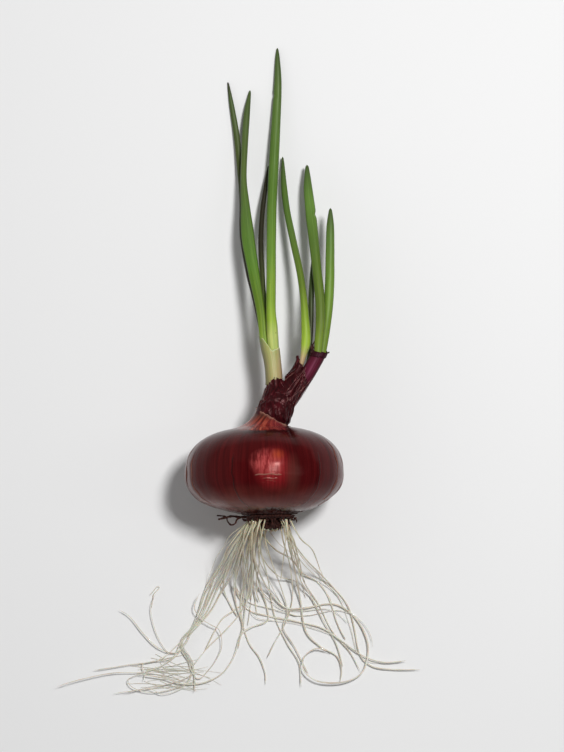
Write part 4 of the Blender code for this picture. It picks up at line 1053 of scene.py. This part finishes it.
def build_root_plate(material):
    rng = random.Random(SEEDS["plate"])
    profile = spline_through([(r, h, 0.0) for r, h in PLATE_PROFILE], 0.35)[:, :2]
    turn, radius = np.meshgrid(turns(150), profile[:, 0])
    height = profile[:, 1][:, None] + 0 * turn
    rough = noise(ring_of(turn, height, radius), (1.4, 1.4, 1.1), 3, 41)
    fibres = noise(ring_of(turn, 0 * turn, 9), (0.8, 0.8, 1), 2, 43)
    grown = radius + (1.1 * rough + 0.9 * fibres - 1.3) * smooth(1.0, 6.0, radius)
    sunk = height + 0.9 * rough * smooth(PLATE_TOP - 0.2, PLATE_TOP - 1.2, height)
    plate = to_table(np.stack([grown * np.cos(turn) + BASE_LEAN, grown * np.sin(turn), sunk], axis=-1))
    grids = [plate]
    for _ in range(CRUMBS):
        angle, reach = rng.uniform(0, 2 * math.pi), rng.uniform(3.5, 13.6)
        depth = -22.0 + rng.uniform(-0.9, 1.2) if reach > 7.2 else rng.uniform(-27.2, -22.5)
        reach = max(reach, 6.6) if depth > -26.0 and reach < 7.6 else reach
        squash = (rng.uniform(0.5, 1.1), rng.uniform(0.5, 1.2), rng.uniform(0.5, 1.1))
        grids.append(blob(on_plate(reach, angle, depth), rng.uniform(0.25, 0.85), rng, squash))
    level = AXIS_HEIGHT - PLATE_TOP * math.sin(AXIS_TILT)
    for lift, route in enumerate(DRIED_ROOTS):
        line = [(x, y, level + 0.6 + 1.6 * lift * math.sin(step)) for step, (x, y) in enumerate(route)]
        grids.append(tube(spline_through(line, 0.5), 1.15 - 0.3 * lift, 8, rng, taper=0.1, wobble=0.18))
    for _ in range(DEAD_ROOTS):
        angle, reach = rng.uniform(0, 2 * math.pi), rng.uniform(5.0, 12.6)
        root = on_plate(reach, angle, -21.6)
        end = (reach * rng.uniform(0.95, 1.25), angle + rng.uniform(-0.2, 0.2), -23 - rng.uniform(0.5, 4.5))
        tip = on_plate(*end)
        bend = (root + tip) / 2 + np.array([rng.uniform(-0.6, 0.6), 0, rng.uniform(-0.6, 0.6)])
        route = spline_through([root, bend, tip], 0.5)
        grids.append(tube(route, rng.uniform(0.5, 1.0), 6, rng, taper=0.4, wobble=0.2))
    place(merged("onion_root_plate", grids), material, "root_plate", "root_plate")


def plate_paint():
    paint = Paint("root_plate", 0.7, Specular_IOR_Level=0.2)
    grains = paint.noise(paint.position(), (1.1, 1.1, 1.1), 4, 0.65)
    paint.colour(paint.ramp(grains, [(0.3, (0.009, 0.0022, 0.0018)), (0.5, (0.032, 0.0075, 0.0052)),
                                     (0.66, (0.08, 0.025, 0.015)), (0.8, (0.2, 0.11, 0.065))]))
    paint.bump(grains, 0.3, 0.8)
    return paint.material


# Roots

LEFT_TUFT = [(-12.1, -33.4), (-19.4, -48.9), (-25.7, -60.1), (-29.8, -69.3), (-35.4, -78.0)]
KNEE = LEFT_TUFT + [(-41.5, -84.1), (-42.0, -89.2), (-38.4, -94.8), (-36.4, -100.4)]
MIDDLE_TUFT = [(-11.1, -36.5), (-14.3, -49.3), (-15.4, -59.9), (-14.5, -68.3), (-11.6, -78.0)]
CENTRE_TUFT = [(-4.5, -29.1), (-6.1, -38.4), (-3.6, -49.0)]
RIGHT_TUFT = [(13.0, -30.3), (16.6, -43.0), (19.2, -54.7)]
ROOT_ROUTES = {
    "knee": KNEE + [(-36.1, -106.6), (-36.5, -111.1)],
    "knee_outer": [(-17.2, -34.6), (-22.4, -45.3), (-26.6, -54.4), (-29.1, -63.7), (-32.8, -73.4),
        (-41.0, -83.1)],
    "knee_curl": KNEE + [(-32.8, -104.0), (-28.2, -99.4), (-24.1, -93.3), (-21.6, -86.7), (-22.6, -79.0),
        (-27.2, -76.0), (-31.8, -72.9), (-35.1, -67.8), (-32.8, -60.7)],
    "elbow": [(-6.6, -35.3), (-6.2, -51.2), (-8.3, -63.5), (-15.5, -69.3), (-22.1, -73.9), (-26.7, -81.6),
        (-30.8, -90.7)],
    "slant": [(-5.1, -38.4), (-6.2, -53.4), (-9.9, -67.8), (-18.0, -78.5), (-27.7, -88.7), (-34.9, -97.9)],
    "big_arc": MIDDLE_TUFT + [(-13.4, -85.6), (-16.0, -94.8), (-21.6, -103.0), (-31.3, -107.9),
        (-42.5, -108.1), (-52.2, -104.8), (-63.4, -102.6)],
    "right_runner": [(-9.1, -32.8), (-13.2, -46.0), (-13.9, -58.8), (-8.3, -69.8), (2.9, -73.4),
        (18.2, -76.0), (30.4, -79.0), (39.6, -85.6), (49.8, -92.8), (61.0, -96.7), (72.2, -95.8)],
    "back_hook": [(-7.1, -35.3), (-3.7, -53.3), (0.3, -68.3), (0.3, -74.4), (-7.3, -77.3), (-12.4, -81.1),
        (-14.1, -88.7)],
    "ring": CENTRE_TUFT + [(2.4, -60.3), (10.5, -68.3), (20.2, -68.8), (35.0, -66.8), (45.7, -73.9),
        (51.8, -86.7), (49.8, -100.4), (40.6, -106.3), (27.4, -106.0), (19.5, -100.4), (19.2, -93.3),
        (25.3, -88.7), (33.5, -90.7)],
    "crossing": [(-1.0, -28.5), (6.0, -37.9), (14.0, -43.4), (19.7, -51.0), (27.9, -56.0), (33.5, -63.7),
        (37.6, -75.4), (42.1, -84.6)],
    "short_strand": [(-3.0, -35.2), (-0.1, -44.7), (6.0, -51.7), (13.1, -54.0)],
    "straight_drop": [(0.5, -32.1), (4.5, -45.8), (9.0, -59.8), (11.5, -71.4), (9.5, -79.5), (16.1, -89.7),
        (22.8, -102.5)],
    "long_diagonal": [(-2.5, -36.3), (0.9, -53.3), (3.9, -72.4), (10.5, -86.7), (17.2, -97.9), (18.2, -110.1)],
    "hook_left": [(9.5, -32.3), (13.0, -46.0), (14.7, -62.0), (11.5, -74.9), (4.9, -86.2), (1.4, -92.8)],
    "s_bend": [(12.0, -33.4), (16.1, -51.4), (18.7, -67.3), (20.7, -81.1), (27.9, -88.7), (37.0, -93.8),
        (39.6, -100.9), (39.0, -107.1)],
    "outer_right": RIGHT_TUFT[:1] + [(20.1, -41.0), (30.4, -52.9), (41.1, -65.8), (45.2, -78.0),
        (48.3, -91.3), (54.9, -97.4), (65.1, -99.2), (78.9, -99.5)],
    "thin_right": [(17.6, -32.1), (23.7, -38.1), (27.8, -48.2)],
    "right_fan_1": RIGHT_TUFT + [(24.8, -63.7), (30.9, -76.5), (37.0, -87.7), (40.1, -98.9)],
    "right_fan_2": RIGHT_TUFT + [(27.4, -66.8), (34.5, -80.5), (42.7, -90.7), (47.8, -100.9)],
    "cluster_loop": KNEE[:6] + [(-46.6, -93.3), (-57.3, -95.6), (-61.9, -97.4), (-60.4, -102.5),
        (-61.4, -106.0)],
    "far_left": LEFT_TUFT + [(-39.4, -86.2), (-47.1, -94.8), (-59.3, -100.4), (-76.7, -101.1),
        (-92.0, -104.5), (-104.7, -108.1)],
    "far_left_2": LEFT_TUFT + [(-42.5, -87.7), (-53.2, -96.4), (-69.5, -98.7), (-85.9, -100.9)],
    "curl_back": LEFT_TUFT[:4] + [(-37.9, -82.6), (-44.0, -91.8), (-53.2, -89.2), (-61.4, -81.6),
        (-68.0, -73.9), (-73.6, -70.3)],
    "curl_up": LEFT_TUFT[:4] + [(-38.9, -87.2), (-47.1, -91.8), (-54.2, -82.6), (-57.7, -69.8),
        (-55.3, -61.7)],
    "table_loop": KNEE + [(-40.0, -108.6), (-55.3, -113.0), (-66.0, -110.6), (-69.0, -106.0),
        (-61.9, -102.8), (-53.2, -102.0)],
    "table_fan_1": KNEE + [(-44.0, -105.0), (-58.3, -108.9), (-76.7, -111.5)],
    "table_fan_2": KNEE + [(-41.5, -110.1), (-51.7, -113.4), (-59.3, -110.3), (-71.6, -112.2)],
    "front_arc": [(-7.6, -36.3), (-10.8, -54.5), (-12.4, -69.3), (-8.3, -85.1), (-2.7, -93.8), (0.1, -101.5),
        (0.3, -107.6)],
    "inner_left": [(-13.1, -34.5), (-18.9, -49.4), (-20.5, -59.0), (-16.5, -68.3), (-12.9, -73.9)],
    "inner_middle": [(-3.0, -33.1), (-2.6, -45.8), (-4.2, -58.7), (-2.7, -66.2)],
}
STRAY_STRANDS = 15
MAT_STRANDS = 24
STUBS = 26
WHITE_FROM = 40.0  # points along a root by which it is white
ROOT_WIDTH = 1.05
TABLE_REACH = 46.0
LAYER_STEP = 0.9
LAYERS = 3
COIL_RISE = 2.6
CROWN_BOTTOM = -24.6
CROWN_MIDDLE = 9.9
# Thin curls at the far ends of single roots.
TIP_CURLS = [
    [(-57.6, -68.5, 0.9), (-56.9, -64.5, 1.1), (-56.4, -61.8, 1.3), (-54.8, -60.0, 1.5), (-53.4, -58.4, 1.5),
     (-54.6, -57.8, 1.6), (-56.2, -59.8, 1.8), (-58.4, -62.2, 1.2)],
    [(13.1, -54.0, 5.0), (15.2, -54.6, 5.2), (16.6, -56.4, 4.6), (15.6, -58.0, 4.0)],
    [(27.8, -48.2, 6.0), (29.6, -51.8, 5.2), (29.2, -55.2, 4.6)],
]
FAN_REACH = 4.2
FAN_TURN = 2.4
FAN_SHARES = (0.45, 0.9, 1.0, 0.8, 0.35, 0.1)
FAN_SIDE = (0.9, -0.45)


def fanned(route, number):
    """A route moved sideways where it leaves the plate, so that the left tuft spreads and then gathers."""
    if route[:3] != LEFT_TUFT[:3]:
        return route
    shift = FAN_REACH * math.sin(FAN_TURN * number)
    shares = FAN_SHARES + (0.0,) * len(route)
    return [(x + shift * share * FAN_SIDE[0], y + shift * share * FAN_SIDE[1])
            for (x, y), share in zip(route, shares)]


def settled(route, start, layer, rng, spread, spacing, trim=1.0):
    """A route with its heights: out of the plate, down to the table, then low over the roots already there."""
    aside, along = rng.uniform(-spread, spread), rng.uniform(-spread, spread)
    lift = rng.uniform(0.0, 0.4)
    line = [(start[0], start[1], 0.0)] + [(x + aside, y + along, 0.0) for x, y in route]
    flat = spline_through(line, spacing)
    flat = flat[:max(8, int(len(flat) * trim))]
    run = np.concatenate([[0], np.cumsum(np.linalg.norm(np.diff(flat[:, :2], axis=0), axis=1))])
    phase = rng.uniform(*ANY_PHASE)
    sway = 0.35 * spread * smooth(4, 30, run)
    flat[:, 0] += sway * np.sin(run / rng.uniform(7, 12) + phase)
    flat[:, 1] += sway * np.cos(run / rng.uniform(8, 13) + phase)
    beyond_reach = max(run[-1] - TABLE_REACH, 1.0)
    sunk = smooth(0, TABLE_REACH, run)
    climb = COIL_RISE * np.maximum(0.0, run - TABLE_REACH) / beyond_reach * min(1.0, beyond_reach / 100)
    rest = ROOT_WIDTH * 0.55 + lift + LAYER_STEP * layer * 0.5 * (1 + np.cos(run / 17.0 + 2.1 * layer)) + climb
    flat[:, 2] = start[2] + (rest - start[2]) * sunk
    return flat


def mat_strand(rng):
    """A thin strand of the flat tangle that lies on the table left of the knee."""
    x, y = rng.uniform(-55, -34), rng.uniform(-110, -95)
    heading, half = rng.gauss(-0.1, 0.22), rng.uniform(8, 17)
    bow = rng.uniform(-3, 3)
    line = []
    for step in np.linspace(-1, 1, 7):
        reach, side = half * step, bow * (1 - step * step)
        line.append((x + reach * math.cos(heading) - side * math.sin(heading),
                     y + reach * math.sin(heading) + side * math.cos(heading),
                     0.4 + 0.9 * rng.random() * (1 - step * step)))
    return spline_through(line, 1.4)


def root_start(first_x, rng):
    """Where a root leaves the plate, on the side that it goes to."""
    side = max(-1.0, min(1.0, (first_x - BASE_LEAN) / 14.0 + rng.uniform(-0.12, 0.12)))
    turn = math.acos(side) * rng.choice((-1, 1))
    return on_plate(CROWN_MIDDLE + rng.uniform(-1.6, 1.8), turn, CROWN_BOTTOM + 2.0)


def build_roots(material):
    rng = random.Random(SEEDS["roots"])
    grids, flows, along = [], [], []

    def add(route, width, sides, far=0.0):
        grid = tube(route, width, sides, rng)
        run = far + np.arange(len(route))[:, None] + 0 * grid[..., 0]
        turn = turns(sides)[None, :] + 0 * grid[..., 0]
        grids.append(grid)
        flows.append(ring_of(turn, run + rng.uniform(0, 400), 0.5))
        along.append(np.minimum(1.0, run / WHITE_FROM))

    for index, (name, route) in enumerate(ROOT_ROUTES.items()):
        shared = route[:3] == LEFT_TUFT[:3] and name != "knee"
        route = fanned(route, index)
        width = rng.uniform(0.45, 0.7) if shared else rng.uniform(0.75, 1.05)
        add(settled(route, root_start(route[0][0], rng), index % LAYERS, rng, 0.9, 1.3), width, 7)
        for _ in range(0 if shared else rng.choice((0, 0, 1, 2))):
            trim = rng.uniform(0.3, 0.9)
            line = settled(route, root_start(route[0][0], rng), rng.randrange(LAYERS), rng, 3.4, 1.6, trim)
            add(line, rng.uniform(0.3, 0.65), 5)
    for _ in range(STRAY_STRANDS):
        fan = rng.uniform(0, 1)
        side = -1 if fan < 0.72 else 1
        first = -12.0 + 9.0 * rng.random() if side < 0 else 11.0 + 5.0 * rng.random()
        drift = rng.uniform(-9, 3) if side < 0 else rng.uniform(-2, 9)
        length = rng.uniform(14, 52)
        line = [(first, -30.0), (first + drift * 0.5, -30 - length * 0.45), (first + drift * 1.4, -30 - length)]
        route = settled(line, root_start(first, rng), rng.randrange(LAYERS), rng, 1.2, 1.5)
        add(route, rng.uniform(0.4, 0.95), 5)
    for _ in range(MAT_STRANDS):
        add(mat_strand(rng), rng.uniform(0.2, 0.36), 5, WHITE_FROM)
    for line in TIP_CURLS:
        add(spline_through(line, 0.6), 0.45, 6, WHITE_FROM)
    for _ in range(STUBS):
        angle, depth = rng.uniform(0, 2 * math.pi), rng.uniform(-27.0, -26.0)
        stub = on_plate(rng.uniform(2.0, 6.4), angle, depth)
        tip = stub + [rng.uniform(-0.9, 0.9), -rng.uniform(0.8, 2.6), rng.uniform(-0.6, 0.6)]
        add(spline_through([stub, (stub + tip) / 2 + [rng.uniform(-0.4, 0.4), 0, 0], tip], 0.4),
            rng.uniform(0.6, 1.3), 6)
    values = {"flow": flows, "along": along}
    place(merged("onion_roots", grids, values), material, "root", "roots")


def root_paint():
    paint = Paint("root", 0.5, Coat_Weight=0.1, Subsurface_Weight=0.2, Subsurface_Scale=0.002)
    flow = paint.flow()
    along = paint.value("along")
    mottle = paint.noise(flow, (1.2, 1.2, 0.16), 3, 0.6)
    pale = paint.ramp(mottle, [(0.3, (0.46, 0.43, 0.34)), (0.55, (0.72, 0.68, 0.57)),
                               (0.75, (0.86, 0.84, 0.77))])
    tawny = paint.ramp(mottle, [(0.3, (0.24, 0.18, 0.09)), (0.5, (0.6, 0.53, 0.35)),
                                (0.7, (0.86, 0.82, 0.66))])
    paint.colour(paint.fade(along, [(0.05, 0.0), (0.6, 1.0)], tawny, pale))
    paint.bump(mottle, 0.05, 0.4)
    return paint.material


# Studio

# Brightness of the surround by height above the horizon, as the sine of the angle.
SURROUND = [(0.0, 0.9), (0.45, 1.0), (0.65, 0.7), (0.85, 0.2), (1.0, 0.08)]
SURROUND_STRENGTH = 0.44
SURROUND_SLANT = -0.7
BACKDROP = (0.8, 0.8, 0.8)
KEY_PLACE = (0.35, 0.4, 1.4)
KEY_SIZE = (0.22, 0.21)
KEY_POWER = 17.2
STRIP_PLACE = (0.85, 0.05, 0.95)
STRIP_SIZE = (0.14, 0.6)
STRIP_POWER = 0.5
LIGHT_TARGET = (0.0, 0.02, 0.04)
CAMERA_PLACE = (0.009, 0.0495, 1.88 + 0.039)
FLOOR_REACH = 6.0
FLOOR_GREY = 0.82


def build_floor():
    mesh = bpy.data.meshes.new("floor")
    corners = [(-1, -1), (1, -1), (1, 1), (-1, 1)]
    mesh.from_pydata([(x * FLOOR_REACH, y * FLOOR_REACH, 0) for x, y in corners], [], [(0, 1, 2, 3)])
    floor = linked("floor", mesh)
    paint = Paint("floor", 0.6, Base_Color=(FLOOR_GREY, FLOOR_GREY, FLOOR_GREY, 1.0))
    mesh.materials.append(paint.material)


def softbox(name, place, size, power):
    """A rectangular light that faces the bulb."""
    light = bpy.data.lights.new(name, "AREA")
    light.shape = "RECTANGLE"
    light.size, light.size_y = size
    light.energy = power
    obj = linked(name, light)
    away = np.array(place) - np.array(LIGHT_TARGET)
    away /= np.linalg.norm(away)
    obj.location = place
    obj.rotation_euler = (math.acos(away[2]), 0.0, math.atan2(away[1], away[0]) + math.pi / 2)


def build_light():
    """A bright low surround, dark overhead and dimmer on one side, with a soft key light and a faint strip."""
    world = bpy.data.worlds.new("studio")
    bpy.context.scene.world = world
    world.use_nodes = True
    sky = Nodes(world.node_tree)
    place = sky.node("ShaderNodeTexCoord").outputs["Generated"]
    strength = sky.times(sky.line(sky.part(place, 0), SURROUND_SLANT, 1.0), SURROUND_STRENGTH)
    band = sky.ramp(sky.part(place, 2), SURROUND)
    lit = sky.node("ShaderNodeVectorMath", {0: band, "Scale": strength}, operation="SCALE").outputs[0]
    shown = sky.mix(sky.node("ShaderNodeLightPath").outputs["Is Camera Ray"], lit, BACKDROP)
    sky.tree.links.new(shown, sky.tree.nodes["Background"].inputs["Color"])
    softbox("key", KEY_PLACE, KEY_SIZE, KEY_POWER)
    softbox("strip", STRIP_PLACE, STRIP_SIZE, STRIP_POWER)


def build_camera():
    camera = bpy.data.cameras.new("camera")
    camera.lens = 180.0
    camera.sensor_width = 36.0
    camera.clip_end = 20.0
    obj = linked("camera", camera)
    obj.location = CAMERA_PLACE
    bpy.context.scene.camera = obj


def main():
    skin = bulb_paint()
    build_bulb(skin)
    build_skins(skin, bulb_paint("bulb_dry_skin", True))
    build_fringe(fringe_paint())
    build_neck(neck_paint())
    build_fibres(fibre_paint())
    build_tatter(fringe_paint())
    sheath("left_stalk", LEFT_STALK, stalk_past, STALK_FOOT, stalk_paint(), "stalk",
           size=4.3, hollow=2.0, seed=51, ribs=22, lip=0.0)
    sheath("purple_scale", PURPLE_SCALE, scale_past, FORK_MOUTH, scale_paint(), "purple_scale",
           size=3.6, hollow=3.0, seed=57, ribs=26, lip=0.6)
    for name, stations in LEAVES.items():
        build_leaf(name, stations, leaf_paint(name))
    build_root_plate(plate_paint())
    build_roots(root_paint())
    build_floor()
    build_light()
    build_camera()
    bpy.context.scene.view_settings.view_transform = "Standard"


main()
